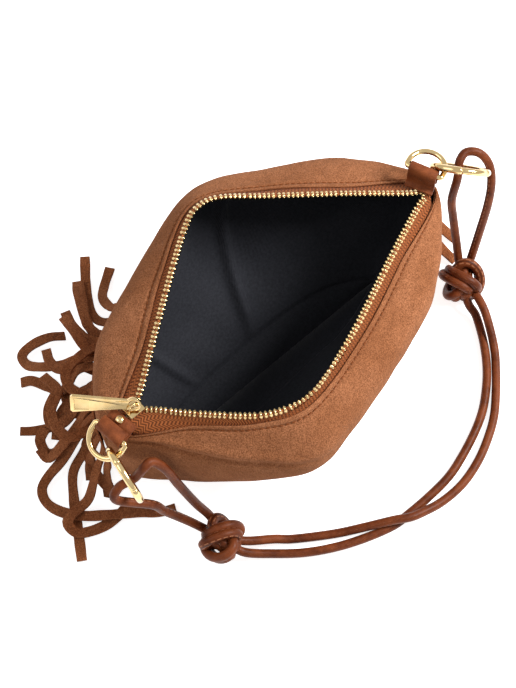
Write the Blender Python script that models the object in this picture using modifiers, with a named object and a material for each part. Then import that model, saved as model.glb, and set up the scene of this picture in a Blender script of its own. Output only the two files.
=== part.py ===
"""Fringed suede bag with an open zip, a doubled cord handle and long fringe laces.

X runs along the zip, from the slider's end (-X) to the far end (+X). The fringed front is +Y,
the back and the handle are -Y, and the bag stands on its flat base at z = 0.
Points are written in millimetres and scaled to metres by mm().
"""
import math

import bmesh
import bpy
import numpy as np
from mathutils import Matrix, Vector

MM = 0.001

# Thicknesses and clearances, in millimetres
SUEDE = 1.2
TAPE = 0.8
LINING = 0.5
LACE = 1.3
LEATHER = 1.3
TOUCH = 0.3
TAPE_DEPTH = SUEDE + 2 * TOUCH + TAPE / 2
LINING_DEPTH = SUEDE + TOUCH + TAPE + TOUCH + 1.0
BASE_SEAM_GAP = 1.7
SIDE_STATIONS = [0.022, 0.06, 0.14, 0.3, 0.6]

# Zip, in millimetres
TOOTH_PITCH = 2.5
TOOTH_REACH = 1.3
TOOTH_SPREAD = 2.3
TAPE_HIDDEN = 0.42
ZIP_LEFT_Y = -1.5
ZIP_RIGHT_Y = -9.1
ZIP_END_Z = 84.2

# Metal ware, in millimetres
SLIDER_LENGTH = 9.0
SLIDER_WIDTH = 7.6
SLIDER_UNDER = 4.4
SLIDER_PLATE = 1.1
SLIDER_CENTRE = (-87.6, ZIP_LEFT_Y, 84.6)
SLIDER_GAP = 3.4
BRIDGE_WIRE = 1.3
PULL_PIVOT = (-87.3, ZIP_LEFT_Y, 92.1)
PULL_ALONG = (-0.73, 0.68, 0.0)
PULL_FACE_LIFT = math.radians(30)
PULL_LENGTH = 31.0
PULL_END_WIDTH = 9.8
PULL_THICKNESS = 1.6
PULL_EYE = 2.6
PULL_EYE_RIM = 1.3
RECESS_SIZE = (7.0, 6.4, 0.5)
RECESS_AT = 25.5
D_BAR_HALF = 9.75
D_LEG = 3.75
D_WIRE = 3.0
BIG_RING_RADIUS = 14.2
BIG_RING_WIRE = 4.0
GATE_WIRE = 3.6
GATE_HINGE = -122.0
GATE_TIP = -62.0
GATE_HINGE_GAP = 1.1
GATE_TIP_GAP = 0.4
CORD_TURN = 57.0
RIVET_HEAD = 4.6
RIVET_POST = 1.8
RIVET_HOLE = 2.4
RIVET_AT = (-96.6, ZIP_LEFT_Y)

# Leather end tabs, in millimetres
TAB_WIDTH = 15.5
TAB_ROLL = D_WIRE / 2 + TOUCH

# Handle cord, in millimetres
CORD = 4.5
KNOT_SIZE = (11.5, 10.0, 9.5)

# Fringe, in millimetres
LACE_WIDTH = 5.4
BAND_TOP = 1.62
BAND_BOTTOM = 2.1

# The body's outer surface: one loop of twelve stations at each level, from the suede's top edge
# down to the base. Station 0 is the left side seam, 1 to 5 the front, 6 the right side seam and
# 7 to 11 the back.
TOP_EDGE = [
    (-100, -3, 81), (-61, 22.5, 88.5), (-30, 44.5, 93), (6, 62.5, 95.5), (41, 44.5, 93.5),
    (73, 20.5, 89.5), (112, -9, 81), (64, -32, 88), (21, -50, 91.5), (-24, -61, 94.5),
    (-50, -50, 92.5), (-72, -29, 88),
]
SHOULDER = [
    (-104, 2, 74), (-80, 37, 76), (-47, 56, 77), (14, 75, 80), (54, 60, 79),
    (92, 36, 77), (115, -6, 75), (74, -47, 76), (26, -66, 77), (-28, -78, 76),
    (-58, -61, 75), (-82, -33, 74),
]
BELLY = [
    (-104, 2, 52), (-80, 37, 52), (-46, 54, 53), (14, 70, 55), (54, 56, 54),
    (91, 36, 53), (115, -6, 52), (73, -46, 52), (25, -64, 52), (-29, -75, 50),
    (-58, -60, 50), (-82, -35, 50),
]
LOWER = [
    (-100, -1, 26), (-74, 28, 25), (-42, 40, 25), (10, 48, 25), (48, 40, 25),
    (80, 26, 25), (104, -5, 26), (66, -33, 25), (22, -46, 25), (-26, -53, 24),
    (-54, -45, 24), (-79, -28, 24),
]
FOOT = [
    (-90, -3, 7), (-64, 14, 4), (-36, 20, 4), (8, 23, 4), (42, 21, 4),
    (68, 14, 4), (88, -4, 7), (56, -17, 4), (18, -21, 4), (-22, -23, 4),
    (-46, -20, 4), (-68, -16, 4),
]
BASE_EDGE = [
    (-82, -2, 0), (-60, 9, 0), (-34, 13, 0), (8, 15, 0), (40, 14, 0),
    (62, 9, 0), (79, -3, 0), (52, -12, 0), (16, -14, 0), (-20, -15, 0),
    (-43, -14, 0), (-63, -12, 0),
]
LEVELS = np.array([TOP_EDGE, SHOULDER, BELLY, LOWER, FOOT, BASE_EDGE], float)
STATIONS = 12
HALF = STATIONS // 2
BODY_ROWS = [0, 0.35, 0.7, 1, 1.5, 2, 2.5, 3, 3.5, 4, 5]
FRONT_STATIONS = (
    SIDE_STATIONS + list(np.arange(1, HALF - 0.9, 1 / 3)) + [HALF - u for u in reversed(SIDE_STATIONS)]
)

# The two zip rows: the line that carries the teeth, from the slider's end to the far end
FRONT_ROW = [
    (-96.5, 0.2, 84.2), (-92, 0.2, 84.4), (-85.5, 0.6, 84.6), (-77, 5.2, 86), (-58, 18.5, 90),
    (-27, 40, 94.5), (-5, 54.3, 96.4), (6, 58.3, 97), (18, 55.5, 96.8), (38, 40, 95),
    (70, 16, 91), (92, -0.6, 87), (101, -6.4, 85), (106, -7.4, 84.4),
]
BACK_ROW = [
    (-96.5, -3.2, 84.2), (-92, -3.2, 84.4), (-85.5, -3.8, 84.6), (-79, -10, 86), (-70, -22, 89),
    (-50, -44.5, 93.5), (-38, -53, 95.3), (-26, -56.8, 96), (-10, -55, 95.5), (20, -45, 93),
    (62, -27, 90), (92, -14.5, 86.5), (101, -11.6, 85), (106, -10.8, 84.4),
]
TEETH_FROM = 14.0
TEETH_TO_END = 5.5


def mm(*values):
    """A point or vector given in millimetres."""
    return Vector(values) * MM


def catmull(before, start, end, after, t):
    """One span of a Catmull-Rom curve."""
    return 0.5 * (2 * start + (end - before) * t
                  + (2 * before - 5 * start + 4 * end - after) * t * t
                  + (3 * start - before - 3 * end + after) * t ** 3)


def loop_point(points, u):
    """A point on the closed curve through the given stations."""
    count = len(points)
    i = math.floor(u)
    return catmull(*(points[(i + k) % count] for k in (-1, 0, 1, 2)), u - i)


def open_point(points, v):
    """A point on the open curve through the given points, straight past its ends."""
    last = len(points) - 1
    i = min(max(math.floor(v), 0), last - 1)
    before = points[i - 1] if i > 0 else 2 * points[0] - points[1]
    after = points[i + 2] if i + 2 <= last else 2 * points[last] - points[last - 1]
    return catmull(before, points[i], points[i + 1], after, v - i)


def body_point(u, v):
    """The bag's outer surface at station u and level v, in millimetres."""
    column = [loop_point(level, u) for level in LEVELS]
    return open_point(column, v)


def body_normal(u, v):
    """The surface's outward direction."""
    step = 0.02
    low = max(v - step, 0)
    high = min(v + step, len(LEVELS) - 1)
    along = body_point(u + step, v) - body_point(u - step, v)
    down = body_point(u, high) - body_point(u, low)
    normal = np.cross(along, down)
    return normal / np.linalg.norm(normal)


def body_layer(u, v, depth):
    """A point the given depth under the outer surface."""
    return body_point(u, v) - body_normal(u, v) * depth


def panel_layer(u, v, depth):
    """A point the given depth under the panels' flat-faced mesh."""
    station = u % HALF
    a, b = bracket(FRONT_STATIONS, station)
    c, d = bracket(BODY_ROWS, v)
    along = (station - a) / (b - a)
    down = (v - c) / (d - c)
    start = u - station
    upper, lower = (
        body_layer(start + a, level, depth) * (1 - along) + body_layer(start + b, level, depth) * along
        for level in (c, d)
    )
    return upper * (1 - down) + lower * down


def bracket(marks, value):
    """The two neighbouring marks around a value."""
    i = min(max(np.searchsorted(marks, value) - 1, 0), len(marks) - 2)
    return marks[i], marks[i + 1]


class Route:
    """A smooth curve through hand-chosen points, read by length."""

    def __init__(self, points, step=0.1):
        self.control = np.array(points, float)
        count = len(self.control) - 1
        self.samples = np.array([open_point(self.control, t) for t in np.arange(0, count + step / 2, step)])
        lengths = np.linalg.norm(np.diff(self.samples, axis=0), axis=1)
        self.distance = np.concatenate([[0], np.cumsum(lengths)])
        self.length = self.distance[-1]

    def at(self, distance):
        """The point at a distance from the start."""
        return np.array([np.interp(distance, self.distance, self.samples[:, k]) for k in range(3)])

    def parameter(self, distance):
        """The control-point parameter at a distance from the start."""
        total = len(self.control) - 1
        return np.interp(distance, self.distance, np.linspace(0, total, len(self.distance)))

    def direction(self, distance):
        """The unit direction of travel."""
        ahead = self.at(min(distance + 0.5, self.length)) - self.at(max(distance - 0.5, 0))
        return ahead / np.linalg.norm(ahead)


def clear_scene():
    for obj in list(bpy.data.objects):
        bpy.data.objects.remove(obj, do_unlink=True)


def new_collection(name):
    collection = bpy.data.collections.new(name)
    bpy.context.scene.collection.children.link(collection)
    return collection


def new_material(name, colour, roughness, metallic=0.0):
    material = bpy.data.materials.new(name)
    material.use_nodes = True
    shader = material.node_tree.nodes["Principled BSDF"]
    shader.inputs["Base Color"].default_value = (*colour, 1.0)
    shader.inputs["Roughness"].default_value = roughness
    shader.inputs["Metallic"].default_value = metallic
    material.diffuse_color = (*colour, 1.0)
    return material


clear_scene()
BAG = new_collection("fringed_suede_bag")
CUTTERS = new_collection("cutters")
SUEDE_TAN = new_material("suede", (0.40, 0.19, 0.09), 0.95)
LACE_BROWN = new_material("fringe_suede", (0.24, 0.10, 0.045), 0.95)
LINING_BLACK = new_material("lining_fabric", (0.012, 0.012, 0.015), 0.8)
TAPE_BROWN = new_material("zip_tape", (0.30, 0.11, 0.045), 0.8)
GOLD = new_material("pale_gold", (0.83, 0.67, 0.34), 0.2, 1.0)
TAB_LEATHER = new_material("tab_leather", (0.33, 0.11, 0.04), 0.45)
CORD_LEATHER = new_material("cord_leather", (0.20, 0.065, 0.028), 0.4)


def add_object(name, data, material, collection=BAG):
    obj = bpy.data.objects.new(name, data)
    collection.objects.link(obj)
    if material is not None:
        data.materials.append(material)
    return obj


def mesh_from(name, bm):
    mesh = bpy.data.meshes.new(name)
    bm.to_mesh(mesh)
    bm.free()
    return mesh


def grid_mesh(columns, rows, place):
    """An open sheet: a grid whose points are put where place(column, row) says, in millimetres."""
    bm = bmesh.new()
    bmesh.ops.create_grid(bm, x_segments=columns, y_segments=rows, size=0.5)
    column_mark = bm.verts.layers.int.new("column")
    row_mark = bm.verts.layers.int.new("row")
    for vert in bm.verts:
        vert[column_mark] = round((vert.co.x + 0.5) * columns)
        vert[row_mark] = round((vert.co.y + 0.5) * rows)
        vert.co = Vector(place(vert[column_mark], vert[row_mark])) * MM
    return bm


def solidify(obj, thickness, offset):
    modifier = obj.modifiers.new("thickness", "SOLIDIFY")
    modifier.thickness = thickness * MM
    modifier.offset = offset
    return modifier


def evaluated_mesh(obj):
    """The object's mesh with its modifiers applied."""
    bpy.context.view_layer.update()
    graph = bpy.context.evaluated_depsgraph_get()
    return bpy.data.meshes.new_from_object(obj.evaluated_get(graph))


def bake(obj):
    """Replace an object by its evaluated mesh with welded caps, and return the new object."""
    name = obj.name
    material = obj.data.materials[0] if obj.data.materials else None
    mesh = evaluated_mesh(obj)
    matrix = obj.matrix_world.copy()
    collection = obj.users_collection[0]
    bpy.data.objects.remove(obj, do_unlink=True)
    bm = bmesh.new()
    bm.from_mesh(mesh)
    bmesh.ops.remove_doubles(bm, verts=bm.verts, dist=0.00001)
    bmesh.ops.recalc_face_normals(bm, faces=bm.faces)
    mesh.materials.clear()
    bm.to_mesh(mesh)
    bm.free()
    result = add_object(name, mesh, material, collection)
    result.matrix_world = matrix
    return result


def join(obj, others):
    """Join solids into one closed body with EXACT unions."""
    for other in others:
        modifier = obj.modifiers.new("join", "BOOLEAN")
        modifier.operation = "UNION"
        modifier.object = other
    result = bake(obj)
    for other in others:
        bpy.data.objects.remove(other, do_unlink=True)
    return result


def cut(obj, cutter):
    BAG.objects.unlink(cutter)
    CUTTERS.objects.link(cutter)
    cutter.hide_render = True
    cutter.display_type = "WIRE"
    modifier = obj.modifiers.new("cut", "BOOLEAN")
    modifier.operation = "DIFFERENCE"
    modifier.object = cutter


def smooth(obj, angle=40):
    obj.data.shade_smooth()
    obj.data.set_sharp_from_angle(angle=math.radians(angle))


# Suede panels, fringe band and lining

def panel(name, stations, rows, place, thickness, offset):
    """A sewn sheet over the given stations and levels."""
    def spot(column, row):
        return place(stations[column], rows[row])
    bm = grid_mesh(len(stations) - 1, len(rows) - 1, spot)
    obj = add_object(name, mesh_from(name, bm), SUEDE_TAN)
    flip_if_inward(obj)
    solidify(obj, thickness, offset)
    smooth(obj, 60)
    return obj


def flip_if_inward(obj):
    """Turn the sheet's faces away from the middle of the bag."""
    middle = mm(0, 0, 50)
    mesh = obj.data
    facing = sum((face.center - middle).dot(face.normal) * face.area for face in mesh.polygons)
    if facing < 0:
        mesh.flip_normals()


def make_panels():
    top = len(LEVELS) - 1
    panel("front_panel", FRONT_STATIONS, BODY_ROWS, body_point, SUEDE, -1)

    def back_place(u, v):
        if v <= top:
            return body_point(u, v)
        inward = -body_normal(STATIONS - u, top)
        inward[2] = 0
        return body_point(STATIONS - u, top) + inward / np.linalg.norm(inward) * BASE_SEAM_GAP
    back = [u + HALF for u in FRONT_STATIONS]
    panel("back_panel", back, BODY_ROWS + [top + 1], back_place, SUEDE, -1)

    def band_place(u, v):
        return panel_layer(u, v, -TOUCH)
    panel("fringe_band", FRONT_STATIONS[2:-2], [BAND_TOP, 2, BAND_BOTTOM], band_place, SUEDE, 1)


def make_lining():
    """A loose inner bag, closed at the bottom."""
    columns = 40
    levels = [0.3, 0.7, 1, 1.6, 2.3, 3, 3.6, 4.1, 5]
    bottom = len(levels)

    def spot(column, row):
        u = STATIONS * column / columns
        if row < bottom:
            return body_layer(u, levels[row], LINING_DEPTH)
        front_u = u if u <= HALF else STATIONS - u
        return body_layer(front_u, levels[-1], LINING_DEPTH)
    bm = grid_mesh(columns, bottom, spot)
    bmesh.ops.remove_doubles(bm, verts=bm.verts, dist=0.0002)
    obj = add_object("lining", mesh_from("lining", bm), LINING_BLACK)
    flip_if_inward(obj)
    solidify(obj, LINING, -1)
    smooth(obj, 60)


# Zip

def zip_tape(name, row_points, first_station, last_station):
    """A tape whose inner edge carries the metal teeth, fused to it."""
    row = Route(row_points)
    # One column is half a pitch, so that teeth and gaps take turns; a wide face spans four.
    columns = 4 * round(row.length / TOOTH_PITCH / 2)
    step = row.length / columns

    def spot(column, across):
        if across == 0:
            return row.at(column * step)
        u = first_station + (last_station - first_station) * column / columns
        return panel_layer(u, TAPE_HIDDEN * (across - 1), TAPE_DEPTH)
    bm = grid_mesh(columns, 2, spot)
    thin_out(bm)
    sheet = add_object(name, mesh_from(name, bm), TAPE_BROWN)
    flip_if_inward(sheet)
    solidify(sheet, TAPE, 0).material_offset_rim = 1
    sheet.data.materials.append(GOLD)
    mesh = evaluated_mesh(sheet)
    bpy.data.objects.remove(sheet, do_unlink=True)
    bm = bmesh.new()
    bm.from_mesh(mesh)
    grow_teeth(bm, row, step)
    bm.to_mesh(mesh)
    bm.free()
    mesh.materials.clear()
    add_object(name, mesh, TAPE_BROWN)


def thin_out(bm):
    """Leave one wide face for every four columns, and all the points along the toothed edge."""
    column = bm.verts.layers.int["column"]
    row = bm.verts.layers.int["row"]
    spare = [
        edge for edge in bm.edges
        if edge.verts[0][column] == edge.verts[1][column] and edge.verts[0][column] % 4
        and len(edge.link_faces) == 2
    ]
    bmesh.ops.dissolve_edges(bm, edges=spare, use_verts=False)
    idle = [vert for vert in bm.verts if vert[row] > 0 and vert[column] % 4]
    bmesh.ops.dissolve_verts(bm, verts=idle)


def grow_teeth(bm, row, step):
    """Push every other face of the tape's inner edge out into a tooth."""
    edge_faces = []
    for face in bm.faces:
        centre = np.array(face.calc_center_median()) / MM
        gaps = np.linalg.norm(row.samples - centre, axis=1)
        nearest = int(gaps.argmin())
        if face.material_index == 1 and gaps[nearest] < TAPE:
            edge_faces.append((row.distance[nearest], face))
        face.material_index = 0
    for distance, face in edge_faces:
        column = int(distance / step)
        if column % 2 or not TEETH_FROM < distance < row.length - TEETH_TO_END:
            continue
        outward = face.normal.copy()
        tooth = bmesh.ops.extrude_discrete_faces(bm, faces=[face])["faces"][0]
        centre = tooth.calc_center_median()
        for vert in tooth.verts:
            spread = Vector((0, 0, vert.co.z - centre.z)) * (TOOTH_SPREAD / TAPE - 1)
            vert.co += outward * TOOTH_REACH * MM + spread


def box(name, size, centre, material, bevel=0.0):
    """A block with its size and centre in millimetres."""
    bm = bmesh.new()
    bmesh.ops.create_cube(bm, size=1)
    bmesh.ops.scale(bm, vec=mm(*size), verts=bm.verts)
    if bevel:
        bmesh.ops.bevel(bm, geom=bm.edges[:], offset=bevel * MM, segments=1, affect="EDGES")
    obj = add_object(name, mesh_from(name, bm), material)
    obj.location = mm(*centre)
    return obj


def wire(name, points, radius, material, cyclic=False, resolution=2, origin=(0, 0, 0)):
    """A round wire or cord through the points, in millimetres."""
    curve = bpy.data.curves.new(name, "CURVE")
    curve.dimensions = "3D"
    curve.bevel_depth = radius * MM
    curve.bevel_resolution = resolution
    curve.use_fill_caps = not cyclic
    spline = curve.splines.new("POLY")
    spline.points.add(len(points) - 1)
    for spot, point in zip(spline.points, points):
        spot.co = (*((Vector(point) - Vector(origin)) * MM), 1)
    spline.use_cyclic_u = cyclic
    spline.use_smooth = True
    obj = add_object(name, curve, material)
    obj.location = mm(*origin)
    return obj


def make_zip():
    zip_tape("zip_tape_front", FRONT_ROW, 0.3, HALF - 0.3)
    zip_tape("zip_tape_back", BACK_ROW, STATIONS - 0.3, HALF + 0.3)
    x, y, z = SLIDER_CENTRE
    box("bottom_stop", (1.8, 2.7, 1.6), (-93.85, y, 84.2), GOLD, 0.3)
    for name, side in (("top_stop_front", 1), ("top_stop_back", -1)):
        box(name, (2.6, 1.1, 2.4), (102.6, ZIP_RIGHT_Y + side * 0.8, 84.7), GOLD, 0.25)
    level = (SLIDER_GAP + SLIDER_PLATE) / 2
    plate = (SLIDER_LENGTH, SLIDER_WIDTH, SLIDER_PLATE)
    body = box("slider", plate, (x, y, z + level), GOLD, 0.35)
    under = box("slider_under", (SLIDER_LENGTH, SLIDER_UNDER, SLIDER_PLATE), (x, y, z - level), GOLD, 0.35)
    wedge = box("slider_wedge", (1.6, 1.4, SLIDER_GAP + SLIDER_PLATE), (x + 3.6, y, z), GOLD)
    foot = z + level
    top = PULL_PIVOT[2]
    arch = [
        (x - 3.6, y, foot), (x - 3.8, y, top - 1.3), (x - 3.1, y, top - 0.2), (x - 0.6, y, top),
        (x + 1.4, y, top - 0.4), (x + 2.3, y, top - 1.6), (x + 2.4, y, foot),
    ]
    bridge = bake(wire("slider_bridge", arch, BRIDGE_WIRE / 2, GOLD))
    smooth(join(body, [under, wedge, bridge]))


def make_pull():
    """A flat plate that widens from a round eye, its origin on the pivot."""
    curve = bpy.data.curves.new("pull_tab", "CURVE")
    curve.dimensions = "2D"
    curve.fill_mode = "BOTH"
    curve.extrude = PULL_THICKNESS / 2 * MM
    outer = PULL_EYE + PULL_EYE_RIM
    half = PULL_END_WIDTH / 2
    turns = np.linspace(math.radians(40), math.radians(320), 17)
    outline = [(outer * math.cos(turn), outer * math.sin(turn)) for turn in turns]
    outline += [
        (PULL_LENGTH - 1, -half), (PULL_LENGTH, -half + 1), (PULL_LENGTH, half - 1),
        (PULL_LENGTH - 1, half),
    ]
    turns = np.linspace(0, 2 * math.pi, 18, endpoint=False)
    hole = [(PULL_EYE * math.cos(turn), PULL_EYE * math.sin(turn)) for turn in turns]
    for points in (outline, hole):
        spline = curve.splines.new("POLY")
        spline.points.add(len(points) - 1)
        for spot, point in zip(spline.points, points):
            spot.co = (point[0] * MM, point[1] * MM, 0, 1)
        spline.use_cyclic_u = True
    pull = bake(add_object("pull_tab", curve, GOLD))
    recess = box("pull_recess", RECESS_SIZE, (RECESS_AT, 0, PULL_THICKNESS / 2), GOLD)
    cut(pull, recess)
    pull = bake(pull)
    bpy.data.objects.remove(recess, do_unlink=True)
    smooth(pull)
    along = Vector(PULL_ALONG).normalized()
    level = along.cross(Vector((0, 0, 1)))
    if level.y > 0:
        level = -level
    face = level * math.cos(PULL_FACE_LIFT) + Vector((0, 0, math.sin(PULL_FACE_LIFT)))
    frame = Matrix((along, face.cross(along), face)).transposed().to_4x4()
    frame.translation = mm(*PULL_PIVOT)
    pull.matrix_world = frame


# Leather end tabs, D-rings, spring rings

class TabEnd:
    """One end of the bag: where the D-ring's bar and the ring linked to it stand."""

    def __init__(self, side, bar, across, outward, bow, ring, reach, facing, pivot):
        self.side = side
        self.bar = Vector(bar)
        self.across = Vector(across).normalized()
        self.outward = Vector(outward).normalized()
        self.bow = Vector(bow).normalized()
        self.ring = Vector(ring)
        self.reach = Vector(reach).normalized()
        self.facing = Vector(facing).normalized()
        self.sideways = self.facing.cross(self.reach)
        self.pivot = Vector(pivot)

    def on_ring(self, turn, radius=BIG_RING_RADIUS):
        """A point in the linked ring's plane, by degrees from its outer end."""
        angle = math.radians(turn)
        return self.ring + (self.reach * math.cos(angle) + self.sideways * math.sin(angle)) * radius

    def cord_spot(self):
        """Where the cord's centre line crosses the ring's plane."""
        return self.on_ring(CORD_TURN, BIG_RING_RADIUS - (BIG_RING_WIRE + CORD) / 2 - TOUCH)


LEFT = TabEnd(
    "left", bar=(-104, -3.5, 85.5), across=(0.1236, -0.9923, 0), outward=(-0.9923, -0.1236, 0),
    bow=(-0.8188, -0.102, -0.565), ring=(-110.87, -20.82, 74.11), reach=(-0.088, -0.8701, -0.485),
    facing=(0.9757, -0.1735, 0.1342), pivot=(-112.09, -11.82, 79.53),
)
RIGHT = TabEnd(
    "right", bar=(107, -4, 97), across=(0.3827, -0.9239, 0), outward=(0.9239, 0.3827, 0),
    bow=(0.9149, 0.379, -0.1392), ring=(124.66, -13.6, 91.16), reach=(0.7605, -0.4147, -0.4997),
    facing=(0.6484, 0.5267, 0.5497), pivot=(115.11, -10.03, 96.28),
)


def strap(end, section):
    """A strap bent to a section of (towards the bag, up) points, measured from the bar."""
    def spot(column, row):
        back, height = section[column]
        side = (row - 0.5) * TAB_WIDTH
        return end.bar - end.outward * back + Vector((0, 0, height)) + end.across * side
    bm = grid_mesh(len(section) - 1, 1, spot)
    name = "end_tab_" + end.side
    obj = add_object(name, mesh_from(name, bm), TAB_LEATHER)
    solidify(obj, LEATHER, 0).use_even_offset = True
    return bake(obj)


def make_tabs():
    radius = TAB_ROLL + LEATHER / 2
    turns = np.linspace(0, math.pi, 9)
    half_turn = [(-radius * math.sin(turn), -radius * math.cos(turn)) for turn in turns]
    base = [(10.6, 0.5), (8.6, 0.5), (7.0, 0.35), (5.5, -0.35), (4, -1.3), (2.2, -2.1)]
    left = strap(LEFT, base + half_turn + [(2.4, 2.5), (4.3, 2.3)])
    hole = rod("rivet_hole", RIVET_HOLE / 2, 6, (*RIVET_AT, 86), GOLD)
    cut(left, hole)
    left = bake(left)
    bpy.data.objects.remove(hole, do_unlink=True)
    smooth(left)
    over = [(radius * math.cos(turn), radius * math.sin(turn)) for turn in turns]
    base = [(6.0, -10.1), (4.4, -10.05), (3.2, -9.4), (2.6, -8.0), (radius, -5.5), (radius, -2.5)]
    right = strap(RIGHT, base + over + [(-1.9, -2.6), (-1.2, -5), (-0.6, -8)])
    smooth(right)


def rod(name, radius, length, centre, material):
    bm = bmesh.new()
    bmesh.ops.create_cone(bm, cap_ends=True, segments=16, radius1=radius * MM, radius2=radius * MM,
                          depth=length * MM)
    obj = add_object(name, mesh_from(name, bm), material)
    obj.location = mm(*centre)
    return obj


def make_rivet():
    """A turned rivet: a low dome, a post through the strap and a flat tail under the zip."""
    head = RIVET_HEAD / 2
    post = RIVET_POST / 2
    profile = [
        (0, 1.35), (0.8, 1.28), (1.5, 1.05), (2.05, 0.6), (head, 0), (post, 0),
        (post, -3.4), (post + 0.7, -3.4), (post + 0.7, -4.0), (0, -4.0),
    ]
    bm = bmesh.new()
    verts = [bm.verts.new(mm(x, 0, z)) for x, z in profile]
    for start, end in zip(verts, verts[1:]):
        bm.edges.new((start, end))
    rivet = add_object("rivet", mesh_from("rivet", bm), GOLD)
    screw = rivet.modifiers.new("turn", "SCREW")
    screw.steps = 20
    screw.render_steps = 20
    screw.use_merge_vertices = True
    screw.merge_threshold = 0.00001
    rivet.location = mm(*RIVET_AT, 86.95)
    smooth(rivet)


def d_ring(end):
    """A bent wire: a straight bar in the strap and a round bow."""
    points = [end.bar + end.across * D_BAR_HALF * t for t in (-0.93, -0.5, 0, 0.5, 0.93)]
    turns = np.linspace(0, math.pi, 17)
    bow = [
        end.bar + end.bow * D_LEG
        + (end.across * math.cos(turn) + end.bow * math.sin(turn)) * D_BAR_HALF for turn in turns
    ]
    corner = end.bow * 0.75
    points.append(end.bar + end.across * D_BAR_HALF + corner)
    points += bow
    points.append(end.bar - end.across * D_BAR_HALF + corner)
    wire("d_ring_" + end.side, points, D_WIRE / 2, GOLD, cyclic=True, origin=end.bar)


def spring_ring(end):
    """A ring with a gate that turns in about its hinge end; the gate's tip is cut to swing free."""
    hinge = end.on_ring(GATE_HINGE)
    tip = end.on_ring(GATE_TIP)
    chord = (tip - hinge).normalized()
    hinge_gap = math.degrees(GATE_HINGE_GAP / BIG_RING_RADIUS)
    turns = np.linspace(GATE_TIP + 6, GATE_HINGE + 360 - hinge_gap, 25)
    body = [end.on_ring(turn) for turn in turns]
    body.insert(0, body[0] - chord)
    wire("spring_ring_" + end.side, body, BIG_RING_WIRE / 2, GOLD, origin=end.pivot)
    turns = np.linspace(GATE_HINGE, GATE_TIP - 3, 8)
    gate = [end.on_ring(turn) for turn in turns]
    reach = (body[0] - gate[-1]).dot(chord) - GATE_TIP_GAP
    gate.append(gate[-1] + chord * reach)
    wire("ring_gate_" + end.side, gate, GATE_WIRE / 2, GOLD, origin=hinge)


# Handle cord: the knots' centres, the loops through the rings and the two strands between the knots

LEFT_KNOT = (-82.7, -61.9, 10.0)
RIGHT_KNOT = (112.7, -37.3, 10.0)
LEFT_LOOP_UP = [
    (-86.6, -51.2, 10.4), (-92, -44, 19), (-100.6, -36, 34), (-107.5, -31, 47), (-113.5, -26.5, 57),
]
LEFT_LOOP_DOWN = [
    (-100.5, -22.5, 71), (-96.5, -24.5, 74), (-92.5, -29.5, 67), (-89.5, -35.5, 50),
    (-85.5, -42.5, 31), (-81.4, -48.6, 15.5), (-80.8, -50, 12.2),
]
RIGHT_LOOP_UP = [
    (118.8, -28.4, 13.6), (122, -21.4, 26), (123.2, -15.5, 44), (122.6, -12.5, 60), (123, -13.0, 70),
]
RIGHT_LOOP_DOWN = [
    (136.5, -6.7, 86.5), (141.9, -11.1, 85), (143.9, -17.2, 79), (141.5, -22.8, 70),
    (137.2, -26.5, 56), (131.9, -28.6, 36), (125.9, -30.9, 18), (124, -31.6, 14.2),
]
OUTER_STRAND = [
    (-73.4, -69.7, 7.4), (-62.6, -76.8, 4.6), (-54.4, -83.2, 2.7), (-37.2, -95, 2.7),
    (-23.7, -103.3, 4.6), (-10.3, -111.5, 7.7), (-2.5, -116.3, 7.8), (4.6, -118.3, 6.2),
    (17.2, -120.4, 3.4), (32.2, -120.4, 2.7), (47.4, -116.8, 2.7), (61.1, -110.8, 2.7),
    (72.5, -103.9, 2.7), (83.2, -94.6, 2.7), (92, -85.8, 2.7), (99.9, -76.8, 3.2),
    (105.6, -66.6, 8), (109.6, -57.5, 12), (112.4, -48.4, 12.4),
]
INNER_STRAND = [
    (-79.3, -72.6, 7), (-67.7, -82.5, 3.6), (-55.6, -92.2, 2.6), (-42.3, -100.5, 2.6),
    (-27.5, -107.3, 2.6), (-11.1, -112.6, 2.6), (-0.4, -113.4, 2.6), (13.9, -113.6, 2.6),
    (29.4, -112.6, 2.6), (42.2, -109.4, 2.6), (57.9, -103.7, 2.6), (70.6, -97.2, 2.6),
    (82.2, -88.3, 2.6), (90.8, -79.8, 2.6), (98.4, -70.1, 2.6), (103.8, -61.4, 3),
    (106.8, -54.5, 5), (107.6, -48.2, 7),
]


def loop_route(end, up, down):
    """A loop's route: up from the knot, through the ring along its facing, and down again."""
    spot = end.cord_spot()
    through = [spot - end.facing * 5.5, spot, spot + end.facing * 5.5]
    return up + [tuple(point) for point in through] + down


def cord(name, points, spacing):
    route = Route(points)
    count = max(2, round(route.length / spacing))
    spots = [route.at(route.length * k / count) for k in range(count + 1)]
    wire(name, spots, CORD / 2, CORD_LEATHER)


def make_handle():
    cord("cord_loop_left", loop_route(LEFT, LEFT_LOOP_UP, LEFT_LOOP_DOWN), 7)
    cord("cord_loop_right", loop_route(RIGHT, RIGHT_LOOP_UP, RIGHT_LOOP_DOWN), 7)
    cord("cord_outer_strand", OUTER_STRAND, 16)
    cord("cord_inner_strand", INNER_STRAND, 16)
    for name, centre in (("knot_left", LEFT_KNOT), ("knot_right", RIGHT_KNOT)):
        bm = bmesh.new()
        bmesh.ops.create_uvsphere(bm, u_segments=16, v_segments=10, radius=1)
        bmesh.ops.scale(bm, vec=mm(*KNOT_SIZE), verts=bm.verts)
        smooth(add_object(name, mesh_from(name, bm), CORD_LEATHER), 60)
        bpy.data.objects[name].location = mm(*centre)


def hang_handle():
    """Hang the handle from an empty on its swing axis."""
    hanger = bpy.data.objects.new("handle_pivot", None)
    BAG.objects.link(hanger)
    hanger.location = LEFT.pivot * MM
    bpy.context.view_layer.update()
    for name in HANDLE_PIECES:
        piece = bpy.data.objects[name]
        piece.parent = hanger
        piece.matrix_parent_inverse = hanger.matrix_world.inverted()


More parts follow.
